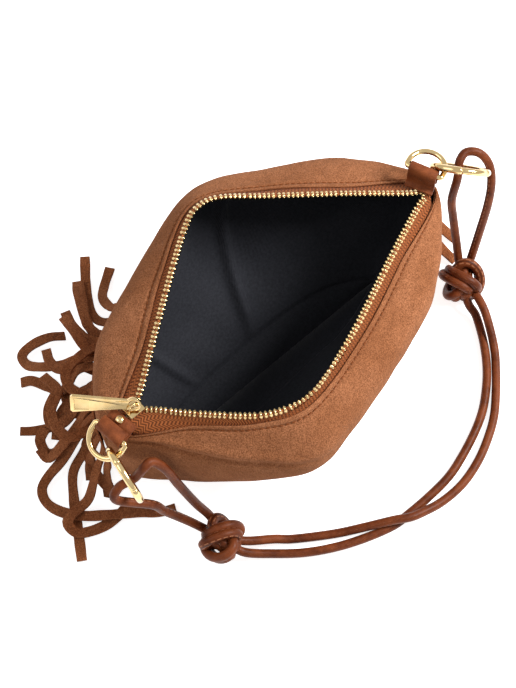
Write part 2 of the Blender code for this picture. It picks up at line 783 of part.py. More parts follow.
HANDLE_PIECES = [
    "spring_ring_left", "spring_ring_right", "ring_gate_left", "ring_gate_right", "cord_loop_left",
    "cord_loop_right", "cord_outer_strand", "cord_inner_strand", "knot_left", "knot_right",
]


# Fringe laces: for each its station on the front and the route that it lies along

LACES = [
    ("lace_01", 0.14, [
        (-105, 3.5, 34.3), (-107, 2.9, 29.7), (-109.2, 0.9, 20.4), (-111.7, -1.1, 4.2)
    ]),
    ("lace_02", 0.28, [
        (-104.1, 10, 31.4), (-109.2, 8, 26.9), (-114.7, 4.6, 24.5), (-121.6, 3.9, 7.5),
        (-132.7, 3.3, 8.1), (-137.5, 1.1, 6.2), (-136.8, -5.1, 4), (-130.1, -9.2, 2.9),
        (-121.3, -11.6, 2.1), (-113.1, -11.8, 2.5), (-106.1, -10.8, 3)
    ]),
    ("lace_03", 0.42, [
        (-103, 17, 32), (-106.1, 17.6, 20), (-109.4, 16.4, 9), (-112.2, 13.3, 2)
    ]),
    ("lace_04", 0.56, [
        (-99.5, 23.5, 28), (-106.2, 24.7, 12), (-117.1, 21.8, 5), (-126.1, 10.6, 2),
        (-135.1, -3.7, 2), (-144.3, -18.2, 2)
    ]),
    ("lace_05", 0.7, [
        (-97.1, 29.5, 32), (-104.7, 30.5, 20), (-117.1, 29.5, 10), (-128.6, 28.8, 5),
        (-135.3, 25.8, 3.5), (-137.9, 18.5, 3), (-135.4, 8.8, 4.5), (-127.9, -1.1, 5),
        (-117.8, -9.3, 5.1), (-107.2, -16.9, 4.4), (-96.7, -24.8, 2), (-89, -28.8, 2)
    ]),
    ("lace_06", 0.84, [
        (-94, 35, 30.1), (-101.4, 36, 18.4), (-108.7, 36, 11.1), (-116.7, 36.6, 6),
        (-120.3, 40.9, 4), (-118.5, 48, 5), (-112.3, 50.1, 8)
    ]),
    ("lace_07", 0.985, [
        (-91, 42, 32), (-99, 42.5, 20), (-107.4, 44.3, 14), (-109.6, 49.7, 12), (-106.1, 55.1, 14),
        (-99.7, 57.4, 18), (-95, 56.5, 22)
    ]),
    ("lace_08", 1.155, [
        (-85, 46, 26), (-96, 47, 10), (-107.6, 49.2, 5), (-116.7, 54.7, 3), (-122.9, 60, 2.5)
    ]),
    ("lace_09", 1.33, [
        (-82, 55, 32), (-92.5, 59, 13), (-96.1, 68.4, 7), (-99.9, 78.2, 4), (-104.7, 82.1, 2)
    ]),
    ("lace_10", 1.5, [
        (-77, 58, 34), (-86, 66, 25), (-93, 75.4, 17), (-96.7, 84.9, 9), (-94.8, 93, 5),
        (-87.6, 94, 6), (-77.6, 91.1, 7), (-69.5, 87, 4)
    ]),
    ("lace_11", 1.75, [
        (-67, 62, 34), (-68.5, 72, 30), (-67.5, 80.6, 26), (-64.5, 90.3, 22)
    ]),
    ("lace_12", 1.9, [
        (-60, 63, 30), (-60, 73, 20), (-57.2, 82.7, 13), (-50.9, 93.8, 8), (-42.9, 107.1, 5)
    ]),
    ("lace_13", 2.1, [
        (-49, 66, 26), (-52, 79, 12), (-48.5, 91.5, 6), (-40.4, 104.6, 3), (-29.8, 118.4, 2)
    ]),
    ("lace_14", 2.24, [
        (-44.9, 69.8, 32.5), (-44, 78, 20), (-41, 88.2, 11), (-34.3, 95.9, 4), (-23.8, 103.6, 2)
    ]),
    ("lace_15", 2.4, [
        (-19, 68, 28), (-18, 72, 14), (-18, 77, 4)
    ]),
    ("lace_16", 2.65, [
        (-4, 72, 28), (-3, 75, 14), (-3, 80, 4)
    ]),
    ("lace_17", 2.9, [
        (9, 74, 28), (9, 77, 14), (9, 82, 4)
    ]),
    ("lace_18", 3.2, [
        (23, 71, 28), (24, 74, 14), (25, 79, 4)
    ]),
    ("lace_19", 3.6, [
        (40, 64, 28), (42, 67, 14), (44, 72, 4)
    ]),
    ("lace_20", 4, [
        (57, 58, 28), (60, 61, 14), (62, 66, 4)
    ]),
    ("lace_21", 4.4, [
        (74, 51, 28), (77, 54, 14), (80, 59, 4)
    ]),
    ("lace_22", 4.8, [
        (90, 43, 32), (94, 54, 23), (98.2, 64.8, 15), (104.5, 73.1, 10)
    ]),
    ("lace_23", 5.3, [
        (107, 23, 28), (110, 26, 14), (113, 29, 4)
    ]),
    ("lace_24", 5.7, [
        (118, 9, 30), (126.4, 4.4, 16), (129.5, -2.9, 8), (132.2, -12.9, 2)
    ]),
    ("lace_25", 5.86, [
        (117, -1, 30), (118.2, -5, 16), (120.4, -11.7, 8), (122.8, -22.5, 2)
    ]),
]


def lace(name, station, points):
    """A cut strip of suede that starts under the band and lies along its route."""
    root = [panel_layer(station, BAND_BOTTOM + 0.03, -LACE), panel_layer(station, 2.45, -2.4)]
    route = Route([tuple(point) for point in root] + points)
    segments = max(8, round(route.length / 9))

    outward = body_normal(station, BAND_BOTTOM)

    def spot(column, row):
        distance = route.length * column / segments
        along = route.direction(distance)
        lying = np.interp(route.parameter(distance), (1, 3.2), (0, 1))
        side = np.cross(along, outward * (1 - lying) + np.array([0, 0, lying]))
        side /= np.linalg.norm(side)
        return route.at(distance) + side * (row - 0.5) * LACE_WIDTH
    bm = grid_mesh(segments, 1, spot)
    obj = add_object(name, mesh_from(name, bm), LACE_BROWN)
    solidify(obj, LACE, 0)


make_panels()
make_lining()
make_zip()
make_pull()
make_tabs()
make_rivet()
for tab_end in (LEFT, RIGHT):
    d_ring(tab_end)
    spring_ring(tab_end)
make_handle()
hang_handle()
for lace_plan in LACES:
    lace(*lace_plan)
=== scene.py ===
"""Fringed suede bag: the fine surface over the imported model, its camera, lights and floor.

Points are in millimetres unless a name says otherwise, and mm() scales them to metres.
"""
import math

import bmesh
import bpy
import numpy as np
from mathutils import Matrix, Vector, noise


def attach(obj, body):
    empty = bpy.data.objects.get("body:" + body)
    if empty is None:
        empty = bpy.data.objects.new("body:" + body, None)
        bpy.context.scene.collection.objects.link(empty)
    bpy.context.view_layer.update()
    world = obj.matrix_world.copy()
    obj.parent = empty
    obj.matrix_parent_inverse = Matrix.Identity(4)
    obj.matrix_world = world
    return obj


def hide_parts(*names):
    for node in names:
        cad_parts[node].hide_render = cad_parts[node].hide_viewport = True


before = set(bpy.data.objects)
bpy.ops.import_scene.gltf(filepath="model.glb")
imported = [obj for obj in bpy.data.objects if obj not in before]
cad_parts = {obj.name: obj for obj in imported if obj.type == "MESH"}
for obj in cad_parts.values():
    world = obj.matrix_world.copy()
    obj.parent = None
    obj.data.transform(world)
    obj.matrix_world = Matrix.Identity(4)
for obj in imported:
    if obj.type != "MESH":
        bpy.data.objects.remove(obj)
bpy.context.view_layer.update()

bl_info = {
    "name": "Fringed suede bag",
    "version": (1, 0, 0),
    "blender": (4, 5, 0),
    "location": "3D View > Sidebar > Bag",
    "description": "Builds the fine surface of a fringed suede bag over its packed model",
    "category": "Object",
}

MM = 0.001

# The body's outer surface: a loop of stations at each level, from the suede's top edge down
TOP_EDGE = [
    (-100, -3, 81), (-61, 22.5, 88.5), (-30, 44.5, 93), (6, 62.5, 95.5), (41, 44.5, 93.5),
    (73, 20.5, 89.5), (112, -9, 81), (64, -32, 88), (21, -50, 91.5), (-24, -61, 94.5),
    (-50, -50, 92.5), (-72, -29, 88),
]
SHOULDER = [
    (-104, 2, 74), (-80, 37, 76), (-47, 56, 77), (14, 75, 80), (54, 60, 79),
    (92, 36, 77), (115, -6, 75), (74, -47, 76), (26, -66, 77), (-28, -78, 76),
    (-58, -61, 75), (-82, -33, 74),
]
BELLY = [
    (-104, 2, 52), (-80, 37, 52), (-46, 54, 53), (14, 70, 55), (54, 56, 54),
    (91, 36, 53), (115, -6, 52), (73, -46, 52), (25, -64, 52), (-29, -75, 50),
    (-58, -60, 50), (-82, -35, 50),
]
LOWER = [
    (-100, -1, 26), (-74, 28, 25), (-42, 40, 25), (10, 48, 25), (48, 40, 25),
    (80, 26, 25), (104, -5, 26), (66, -33, 25), (22, -46, 25), (-26, -53, 24),
    (-54, -45, 24), (-79, -28, 24),
]
FOOT = [
    (-90, -3, 7), (-64, 14, 4), (-36, 20, 4), (8, 23, 4), (42, 21, 4),
    (68, 14, 4), (88, -4, 7), (56, -17, 4), (18, -21, 4), (-22, -23, 4),
    (-46, -20, 4), (-68, -16, 4),
]
BASE_EDGE = [
    (-82, -2, 0), (-60, 9, 0), (-34, 13, 0), (8, 15, 0), (40, 14, 0),
    (62, 9, 0), (79, -3, 0), (52, -12, 0), (16, -14, 0), (-20, -15, 0),
    (-43, -14, 0), (-63, -12, 0),
]
LEVELS = np.array([TOP_EDGE, SHOULDER, BELLY, LOWER, FOOT, BASE_EDGE], float)
STATIONS = 12
HALF = STATIONS // 2

# The line that each row of teeth follows, from the slider's end to the far one
FRONT_ROW = [
    (-96.5, 0.2, 84.2), (-92, 0.2, 84.4), (-85.5, 0.6, 84.6), (-77, 5.2, 86), (-58, 18.5, 90),
    (-27, 40, 94.5), (-5, 54.3, 96.4), (6, 58.3, 97), (18, 55.5, 96.8), (38, 40, 95),
    (70, 16, 91), (92, -0.6, 87), (101, -6.4, 85), (106, -7.4, 84.4),
]
BACK_ROW = [
    (-96.5, -3.2, 84.2), (-92, -3.2, 84.4), (-85.5, -3.8, 84.6), (-79, -10, 86), (-70, -22, 89),
    (-50, -44.5, 93.5), (-38, -53, 95.3), (-26, -56.8, 96), (-10, -55, 95.5), (20, -45, 93),
    (62, -27, 90), (92, -14.5, 86.5), (101, -11.6, 85), (106, -10.8, 84.4),
]
# Where the teeth start and end along a row, and a tooth's size along the tape, across it and up
TEETH_FROM = 14.0
TEETH_TO_END = 5.5
TOOTH = (1.5, 3.3, 2.3)
TOOTH_HEAD = (0.75, 0.9, 1.0)
TAPE_CORD_RADIUS = 0.95

# How thick the layers are, how close they lie and how deep each one is under the suede's surface
SUEDE = 1.2
TAPE = 0.8
TOUCH = 0.3
TAPE_DEPTH = SUEDE + 2 * TOUCH + TAPE / 2
LINING_DEPTH = SUEDE + TOUCH + TAPE + TOUCH + 1.0
LINING_THICKNESS = 0.4

# Metal rings and the cord
D_BAR_HALF = 9.75
D_LEG = 3.75
D_WIRE = 3.0
BIG_RING_RADIUS = 14.2
BIG_RING_WIRE = 4.0
GATE_WIRE = 3.6
GATE_HINGE = -122.0
GATE_TIP = -62.0
GATE_HINGE_GAP = 1.1
GATE_TIP_GAP = 0.4
CORD_TURN = 57.0
CORD = 4.8

# Levels of the fringe band and of the seam under the rim, and the size of a stitch
BAND_TOP = 1.62
BAND_BOTTOM = 2.1
STITCH_LEVEL = 0.13
STITCH_LENGTH = 2.4
STITCH_THICKNESS = 0.8
STITCH_SINK = 0.4
LACE_THICKNESS = 1.3
LACE_LOWEST = 0.9

# The crease under the mouth at the back: (station, level, how far it rises)
CREASE = np.array([
    (6.0, 0.9, 0.0), (8.6, 1.1, 0.0), (9.2, 1.1, 0.5), (9.8, 0.95, 1.0), (10.5, 0.85, 1.0),
    (11.1, 0.75, 1.0), (11.5, 0.5, 0.7), (11.8, 0.45, 0.0), (12.0, 0.45, 0.0),
])

# Where each end's D-ring bar and spring ring stand
LEFT = {
    "side": "left", "bar": (-104, -3.5, 85.5), "across": (0.1236, -0.9923, 0),
    "bow": (-0.8188, -0.102, -0.565), "ring": (-110.87, -20.82, 74.11), "reach": (-0.088, -0.8701, -0.485),
    "facing": (0.9757, -0.1735, 0.1342),
}
RIGHT = {
    "side": "right", "bar": (107, -4, 97), "across": (0.3827, -0.9239, 0),
    "bow": (0.9149, 0.379, -0.1392), "ring": (124.66, -13.6, 91.16), "reach": (0.7605, -0.4147, -0.4997),
    "facing": (0.6484, 0.5267, 0.5497),
}
for end in (LEFT, RIGHT):
    for key, value in list(end.items()):
        if key != "side":
            end[key] = np.array(value, float)
    for key in ("across", "bow", "reach", "facing"):
        end[key] /= np.linalg.norm(end[key])

# The cord's runs: up to the ring and down from it at each end, then the two strands between the knots
LEFT_LOOP_UP = [
    (-86.6, -51.2, 10.4), (-92, -44, 19), (-100.6, -36, 34), (-105.3, -32.6, 45.2), (-119.2, -22.5, 57.1),
]
LEFT_LOOP_DOWN = [
    (-101.6, -24.3, 73.8), (-96.5, -24.5, 74), (-92.5, -29.5, 67), (-89.5, -35.5, 50),
    (-85.5, -42.5, 31), (-81.4, -48.6, 15.5),
]
RIGHT_LOOP_UP = [
    (118.8, -28.4, 13.6), (122, -21.4, 26), (123.2, -15.5, 44), (122.8, -13.0, 60),
]
RIGHT_LOOP_DOWN = [
    (136.5, -6.7, 86.5), (141.9, -11.1, 85), (143.9, -17.2, 79), (141.5, -22.8, 70),
    (137.2, -26.5, 56), (131.9, -28.6, 36), (125.9, -30.9, 18), (124, -31.6, 14.2),
]
OUTER_STRAND = [
    (-73.4, -69.7, 7.4), (-62.6, -76.8, 4.6), (-54.4, -83.2, 2.7), (-37.2, -95, 2.7),
    (-23.7, -103.3, 4.6), (-10.3, -111.5, 7.7), (-2.5, -116.3, 7.8), (4.6, -118.3, 6.2),
    (17.2, -120.4, 3.4), (32.2, -120.4, 2.7), (47.4, -116.8, 2.7), (61.1, -110.8, 2.7),
    (72.5, -103.9, 2.7), (83.2, -94.6, 2.7), (92, -85.8, 2.7), (99.9, -76.8, 3.2),
    (105.6, -66.6, 8), (109.6, -57.5, 12), (112.4, -48.4, 12.4),
]
INNER_STRAND = [
    (-79.3, -72.6, 7), (-67.7, -82.5, 3.6), (-55.6, -92.2, 2.6), (-42.3, -100.5, 2.6),
    (-27.5, -107.3, 2.6), (-11.1, -112.6, 2.6), (-0.4, -113.4, 2.6), (13.9, -113.6, 2.6),
    (29.4, -112.6, 2.6), (42.2, -109.4, 2.6), (57.9, -103.7, 2.6), (70.6, -97.2, 2.6),
    (82.2, -88.3, 2.6), (90.8, -79.8, 2.6), (98.4, -70.1, 2.6), (103.8, -61.4, 3),
    (106.8, -54.5, 5), (107.6, -48.2, 7),
]

# How far a cord's end goes on towards its knot's centre, and where it lies in its ring
INTO_KNOT = (0.65, 1.2)
IN_RING = (-6.2, 0, 4.1)

# Each knot's centre, the axis from its loop to its strands, and the turn at which its wraps cross
KNOTS = {
    "left": ((-84.8, -60.6, 12.6), (0.45, -0.89, -0.1), 0.5),
    "right": ((112.7, -37.3, 12.6), (-0.45, -0.88, -0.1), 1.6),
}
# The two cords that wind each knot, and the strands' core inside it
KNOT_RADIUS = 6.6
KNOT_WEAVE = 3.3
KNOT_REACH = 7.2
KNOT_CORD_RADIUS = 2.6
KNOT_CORD_APART = 2.25
KNOT_CORE_RADIUS = 4.4
KNOT_CORE_HALF = 8

# The cord's seam faces this way
SEAM_SIDE = (-0.3, -0.33, 0.9)

# The camera looks at a point over the bag's middle; a pixel of the photo is half a millimetre there
CAMERA_TURN = math.radians(42)
CAMERA_RISE = math.radians(64)
CAMERA_DISTANCE = 950
CAMERA_CENTRE = (0, -8, 96)
PIXELS_PER_MM = 2
PHOTO_HEIGHT = 688
PHOTO_SHIFT = (-17, -42)
FLOOR_HALF = 2500

# Fringe laces: for each its station on the front and the route that it lies along
LACES = [
    ("lace_01", 0.14, [
        (-105, 3.5, 34.3), (-107, 2.9, 29.7), (-109.2, 0.9, 20.4), (-111.7, -1.1, 4.2)
    ]),
    ("lace_02", 0.28, [
        (-104.1, 10, 31.4), (-109.2, 8, 26.9), (-114.7, 4.6, 24.5), (-121.6, 3.9, 7.5),
        (-132.7, 3.3, 8.1), (-137.5, 1.1, 6.2), (-136.8, -5.1, 4), (-130.1, -9.2, 2.9),
        (-121.3, -11.6, 2.1), (-113.1, -11.8, 2.5), (-106.1, -10.8, 3)
    ]),
    ("lace_03", 0.42, [
        (-103, 17, 32), (-106.1, 17.6, 20), (-109.4, 16.4, 9), (-112.2, 13.3, 2)
    ]),
    ("lace_04", 0.56, [
        (-99.5, 23.5, 28), (-106.2, 24.7, 12), (-117.1, 21.8, 5), (-126.1, 10.6, 2),
        (-135.1, -3.7, 2), (-144.3, -18.2, 2)
    ]),
    ("lace_05", 0.7, [
        (-97.1, 29.5, 32), (-104.7, 30.5, 20), (-117.1, 29.5, 10), (-128.6, 28.8, 5),
        (-135.3, 25.8, 3.5), (-137.9, 18.5, 3), (-135.4, 8.8, 4.5), (-127.9, -1.1, 5),
        (-117.8, -9.3, 5.1), (-107.2, -16.9, 4.4), (-96.7, -24.8, 2), (-89, -28.8, 2)
    ]),
    ("lace_06", 0.84, [
        (-94, 35, 30.1), (-101.4, 36, 18.4), (-108.7, 36, 11.1), (-116.7, 36.6, 6),
        (-120.3, 40.9, 4), (-118.5, 48, 5), (-112.3, 50.1, 8)
    ]),
    ("lace_07", 0.985, [
        (-91, 42, 32), (-99, 42.5, 20), (-107.4, 44.3, 14), (-109.6, 49.7, 12), (-106.1, 55.1, 14),
        (-99.7, 57.4, 18), (-95, 56.5, 22)
    ]),
    ("lace_08", 1.155, [
        (-85, 46, 26), (-96, 47, 10), (-107.6, 49.2, 5), (-116.7, 54.7, 3), (-122.9, 60, 2.5)
    ]),
    ("lace_09", 1.33, [
        (-82, 55, 32), (-92.5, 59, 13), (-96.1, 68.4, 7), (-99.9, 78.2, 4), (-104.7, 82.1, 2)
    ]),
    ("lace_10", 1.5, [
        (-77, 58, 34), (-86, 66, 25), (-93, 75.4, 17), (-96.7, 84.9, 9), (-94.8, 93, 5),
        (-87.6, 94, 6), (-77.6, 91.1, 7), (-69.5, 87, 4)
    ]),
    ("lace_11", 1.75, [
        (-67, 62, 34), (-68.5, 72, 30), (-67.5, 80.6, 26), (-64.5, 90.3, 22)
    ]),
    ("lace_12", 1.9, [
        (-60, 63, 30), (-60, 73, 20), (-57.2, 82.7, 13), (-50.9, 93.8, 8), (-42.9, 107.1, 5)
    ]),
    ("lace_13", 2.1, [
        (-49, 66, 26), (-52, 79, 12), (-48.5, 91.5, 6), (-40.4, 104.6, 3), (-29.8, 118.4, 2)
    ]),
    ("lace_14", 2.24, [
        (-44.9, 69.8, 32.5), (-44, 78, 20), (-41, 88.2, 11), (-34.3, 95.9, 4), (-23.8, 103.6, 2)
    ]),
    ("lace_15", 2.4, [
        (-19, 68, 28), (-18, 72, 14), (-18, 77, 4)
    ]),
    ("lace_16", 2.65, [
        (-4, 72, 28), (-3, 75, 14), (-3, 80, 4)
    ]),
    ("lace_17", 2.9, [
        (9, 74, 28), (9, 77, 14), (9, 82, 4)
    ]),
    ("lace_18", 3.2, [
        (23, 71, 28), (24, 74, 14), (25, 79, 4)
    ]),
    ("lace_19", 3.6, [
        (40, 64, 28), (42, 67, 14), (44, 72, 4)
    ]),
    ("lace_20", 4, [
        (57, 58, 28), (60, 61, 14), (62, 66, 4)
    ]),
    ("lace_21", 4.4, [
        (74, 51, 28), (77, 54, 14), (80, 59, 4)
    ]),
    ("lace_22", 4.8, [
        (90, 43, 32), (94, 54, 23), (98.2, 64.8, 15), (104.5, 73.1, 10)
    ]),
    ("lace_23", 5.3, [
        (107, 23, 28), (110, 26, 14), (113, 29, 4)
    ]),
    ("lace_24", 5.7, [
        (118, 9, 30), (126.4, 4.4, 16), (129.5, -2.9, 8), (132.2, -12.9, 2)
    ]),
    ("lace_25", 5.86, [
        (117, -1, 30), (118.2, -5, 16), (120.4, -11.7, 8), (122.8, -22.5, 2)
    ]),
]

# Curls of fringe that lie over and under those laces at the slider's end
CURLS = [
    ("curl_01", [(-63.8, 64.0, 30), (-61.0, 75.7, 30), (-53.9, 91.1, 24), (-47.1, 102.0, 18)]),
    ("curl_02", [(-70.4, 54.2, 30), (-73.3, 59.7, 38), (-72.1, 70.7, 40), (-70.8, 81.9, 38)]),
    ("curl_03", [
        (-68.1, 57.9, 36), (-79.4, 56.6, 42), (-89.9, 55.6, 40), (-93.8, 48.8, 38), (-91.6, 41.1, 36),
        (-87.4, 33.8, 30),
    ]),
    ("curl_04", [
        (-75.2, 48.8, 28), (-81.3, 57.7, 30), (-88.9, 64.0, 27), (-89.2, 72.8, 22), (-85.5, 81.5, 18),
    ]),
    ("curl_05", [
        (-96.8, 69.8, 20), (-97.5, 56.0, 26), (-107.8, 48.0, 28), (-111.9, 36.9, 30), (-109.7, 27.8, 32),
        (-95.0, 25.4, 30),
    ]),
    ("curl_06", [(-122.3, 42.9, 8), (-121.9, 34.6, 10), (-107.5, 32.8, 22), (-89.5, 30.7, 28)]),
    ("curl_07", [(-78.0, 44.3, 24), (-90.2, 50.6, 16), (-102.4, 50.5, 8), (-112.0, 42.7, 4)]),
    ("curl_08", [
        (-84.9, 36.2, 22), (-95.6, 42.6, 14), (-93.4, 56.4, 8), (-82.0, 65.2, 8), (-65.9, 61.0, 20),
    ]),
    ("curl_09", [(-94.1, 24.9, 24), (-104.9, 24.2, 18), (-108.8, 11.7, 8), (-108.1, 0.0, 3)]),
]


# Geometry

# A cord's domed end: each ring's share of the radius and its step from the one before
DOME = ((0.8, 0.35), (0.35, 0.62 - 0.35))


def mm(values):
    return Vector([float(v) for v in values]) * MM


def spline_weights(t):
    """Catmull-Rom weights of the four points around a span."""
    return np.stack([
        -0.5 * t + t * t - 0.5 * t ** 3,
        1 - 2.5 * t * t + 1.5 * t ** 3,
        0.5 * t + 2 * t * t - 1.5 * t ** 3,
        -0.5 * t * t + 0.5 * t ** 3,
    ], -1)


def body(u, v):
    """The bag's outer surface at stations u and levels v, in millimetres."""
    u, v = np.broadcast_arrays(np.asarray(u, float), np.asarray(v, float))
    shape = u.shape
    u, v = u.ravel(), v.ravel()
    station = np.floor(u).astype(int)
    near = (station[:, None] + np.array([-1, 0, 1, 2])) % STATIONS
    column = np.einsum("nk,lnkc->nlc", spline_weights(u - station), LEVELS[:, near])
    column = np.concatenate([
        2 * column[:, :1] - column[:, 1:2], column, 2 * column[:, -1:] - column[:, -2:-1],
    ], 1)
    level = np.clip(np.floor(v).astype(int), 0, len(LEVELS) - 2)
    rows = column[np.arange(len(u))[:, None], level[:, None] + np.arange(4)]
    return np.einsum("nk,nkc->nc", spline_weights(v - level), rows).reshape(shape + (3,))


def body_normal(u, v):
    """The surface's outward direction."""
    step = 0.02
    along = body(u + step, v) - body(u - step, v)
    down = body(u, np.minimum(v + step, 5)) - body(u, np.maximum(v - step, 0))
    normal = np.cross(along, down)
    return normal / np.linalg.norm(normal, axis=-1, keepdims=True)


def body_layer(u, v, depth):
    """Points the given depth under the outer surface."""
    return body(u, v) - body_normal(u, v) * np.asarray(depth)[..., None]


def bump(x, centre, width):
    """A smooth rise to 1 at the centre."""
    return np.exp(-((x - centre) / width) ** 2)


def ripple(points, scale, seed):
    """Smooth noise from -1 to 1 at each point; scale is the size of a ripple in millimetres."""
    flat = points.reshape(-1, 3)
    shift = Vector((seed * 7.3, seed * 3.1, seed * 5.7))
    values = [noise.noise(Vector(p) / scale + shift) for p in flat.tolist()]
    return np.array(values).reshape(points.shape[:-1])


def smooth_line(points, step):
    """Points every step millimetres along a smooth curve through the given ones."""
    control = np.array(points, float)
    control = np.concatenate([[2 * control[0] - control[1]], control, [2 * control[-1] - control[-2]]])
    spans = len(control) - 3
    t = np.linspace(0, spans, spans * 40 + 1)
    span = np.minimum(np.floor(t).astype(int), spans - 1)
    rows = control[span[:, None] + np.arange(4)]
    fine = np.einsum("nk,nkc->nc", spline_weights(t - span), rows)
    distance = distances(fine)
    count = max(2, round(distance[-1] / step))
    marks = np.linspace(0, distance[-1], count + 1)
    return np.stack([np.interp(marks, distance, fine[:, k]) for k in range(3)], 1)


def distances(line):
    """How far along a line each of its points is."""
    return np.concatenate([[0], np.cumsum(np.linalg.norm(np.diff(line, axis=0), axis=1))])


def line_length(line):
    return float(np.linalg.norm(np.diff(line, axis=0), axis=1).sum())


def directions(line):
    """Unit tangents of a line of points."""
    tangent = np.gradient(line, axis=0)
    return tangent / np.linalg.norm(tangent, axis=1, keepdims=True)


def add_mesh(name, verts, faces, material, uv=None, smooth=True):
    """A mesh object from points in millimetres; uv holds one pair for each point."""
    mesh = bpy.data.meshes.new(name)
    mesh.from_pydata((np.asarray(verts) * MM).tolist(), [], faces)
    if uv is not None:
        layer = mesh.uv_layers.new(name="UVMap")
        corners = np.empty(len(mesh.loops), dtype=int)
        mesh.loops.foreach_get("vertex_index", corners)
        layer.data.foreach_set("uv", np.asarray(uv, float)[corners].ravel())
    if smooth:
        mesh.shade_smooth()
    mesh.materials.append(material)
    obj = bpy.data.objects.new(name, mesh)
    bpy.context.scene.collection.objects.link(obj)
    return obj


def grid_faces(rows, columns, closed=False):
    """Quads of a grid of points; a closed grid joins its last column to its first."""
    faces = []
    for i in range(rows - 1):
        for j in range(columns if closed else columns - 1):
            k = (j + 1) % columns
            faces.append((i * columns + j, i * columns + k, (i + 1) * columns + k, (i + 1) * columns + j))
    return faces


def add_sheet(name, points, material, thickness, offset, uv=None, edge=0.3):
    """A solid sheet over a grid of points, with softened edges."""
    rows, columns = points.shape[:2]
    faces = grid_faces(rows, columns)
    pairs = None if uv is None else uv.reshape(-1, 2)
    obj = add_mesh(name, points.reshape(-1, 3), faces, material, pairs)
    solid = obj.modifiers.new("Thickness", "SOLIDIFY")
    solid.thickness = thickness * MM
    solid.offset = offset
    rim = obj.modifiers.new("Soft edge", "BEVEL")
    rim.width = edge * MM
    rim.segments = 2
    rim.limit_method = "ANGLE"
    rim.angle_limit = math.radians(50)
    return obj


def add_tube(name, line, radius, material, sides=20, start=(0, 0, 1), closed=False):
    """A round cord along a line, with domed ends unless it is closed.

    start turns its section: one direction, or one for each point. Its UV is (length, turn), in
    millimetres and turns.
    """
    tangent = directions(line)
    if closed:
        tangent = np.roll(line, -1, 0) - np.roll(line, 1, 0)
        tangent /= np.linalg.norm(tangent, axis=1, keepdims=True)
    starts = np.broadcast_to(np.array(start, float), line.shape)
    side = starts[0]
    frames = []
    for direction, wanted in zip(tangent, starts):
        side = side if np.ndim(start) == 1 else wanted
        side = side - direction * side.dot(direction)
        side /= np.linalg.norm(side)
        frames.append((side, np.cross(direction, side)))
    distance = distances(line)
    centres = list(line)
    sizes = [radius] * len(line)
    axes = list(frames)
    marks = list(distance)
    if not closed:
        for share, step in DOME:
            centres = [centres[0] - tangent[0] * radius * step] + centres
            centres += [centres[-1] + tangent[-1] * radius * step]
            sizes = [radius * share] + sizes + [radius * share]
            axes = [frames[0]] + axes + [frames[-1]]
            marks = [marks[0] - 0.5] + marks + [marks[-1] + 0.5]
    turns = np.linspace(0, 2 * math.pi, sides + 1)
    verts = []
    uv = []
    for centre, size, (a, b), mark in zip(centres, sizes, axes, marks):
        for turn in turns[:-1]:
            verts.append(centre + (a * math.cos(turn) + b * math.sin(turn)) * size)
            uv.append((mark, turn / (2 * math.pi)))
    rows = len(centres)
    faces = grid_faces(rows, sides, closed=True)
    if closed:
        last = (rows - 1) * sides
        faces += [(last + j, last + (j + 1) % sides, (j + 1) % sides, j) for j in range(sides)]
    else:
        faces.append(tuple(range(sides))[::-1])
        faces.append(tuple(range((rows - 1) * sides, rows * sides)))
    return add_mesh(name, verts, faces, material, uv)


def stamp(name, pattern, places, material):
    """One mesh of copies of a small pattern; a place is (origin, x, y, z) in millimetres."""
    base_verts, base_faces = pattern
    verts = []
    faces = []
    for origin, x, y, z in places:
        start = len(verts)
        axes = np.stack([x, y, z])
        verts += list(np.asarray(origin) + base_verts @ axes)
        faces += [tuple(start + i for i in face) for face in base_faces]
    return add_mesh(name, verts, faces, material)


def pattern_from(bm):
    """A pattern's points and faces, taken from a bmesh in millimetres.

    The faces are sorted, because a sphere lists its own in a new order each run.
    """
    verts = np.array([vert.co for vert in bm.verts])
    faces = sorted(tuple(vert.index for vert in face.verts) for face in bm.faces)
    bm.free()
    return verts, faces


def block_pattern(size, width, segments=1):
    """A block with bevelled edges."""
    bm = bmesh.new()
    bmesh.ops.create_cube(bm, size=1)
    bmesh.ops.scale(bm, vec=size, verts=bm.verts)
    bmesh.ops.bevel(bm, geom=bm.edges[:], offset=width, segments=segments, affect="EDGES")
    bm.verts.index_update()
    return pattern_from(bm)


def stitch_pattern(length, thick):
    """A stitch, pointed at both ends."""
    bm = bmesh.new()
    bmesh.ops.create_uvsphere(bm, u_segments=8, v_segments=6, radius=0.5)
    bmesh.ops.scale(bm, vec=(length, thick, thick), verts=bm.verts)
    bm.verts.index_update()
    return pattern_from(bm)


def from_model(node, material, width, segments=2):
    """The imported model's own solid with softened edges, shown in its place."""
    bm = bmesh.new()
    bm.from_mesh(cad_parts[node].data)
    bmesh.ops.remove_doubles(bm, verts=bm.verts, dist=1e-6)
    bmesh.ops.dissolve_limit(bm, angle_limit=math.radians(1), verts=bm.verts, edges=bm.edges)
    mesh = bpy.data.meshes.new(node + "_fine")
    bm.to_mesh(mesh)
    bm.free()
    mesh.materials.append(material)
    mesh.shade_smooth()
    obj = bpy.data.objects.new(mesh.name, mesh)
    bpy.context.scene.collection.objects.link(obj)
    edge = obj.modifiers.new("Soft edge", "BEVEL")
    edge.width = width * MM
    edge.segments = segments
    edge.limit_method = "ANGLE"
    edge.angle_limit = math.radians(35)
    edge.harden_normals = True
    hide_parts(node)
    return obj


def seat(obj, bag_body):
    """Hang a piece on a body of the model."""
    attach(obj, bag_body)
    return obj


# Materials

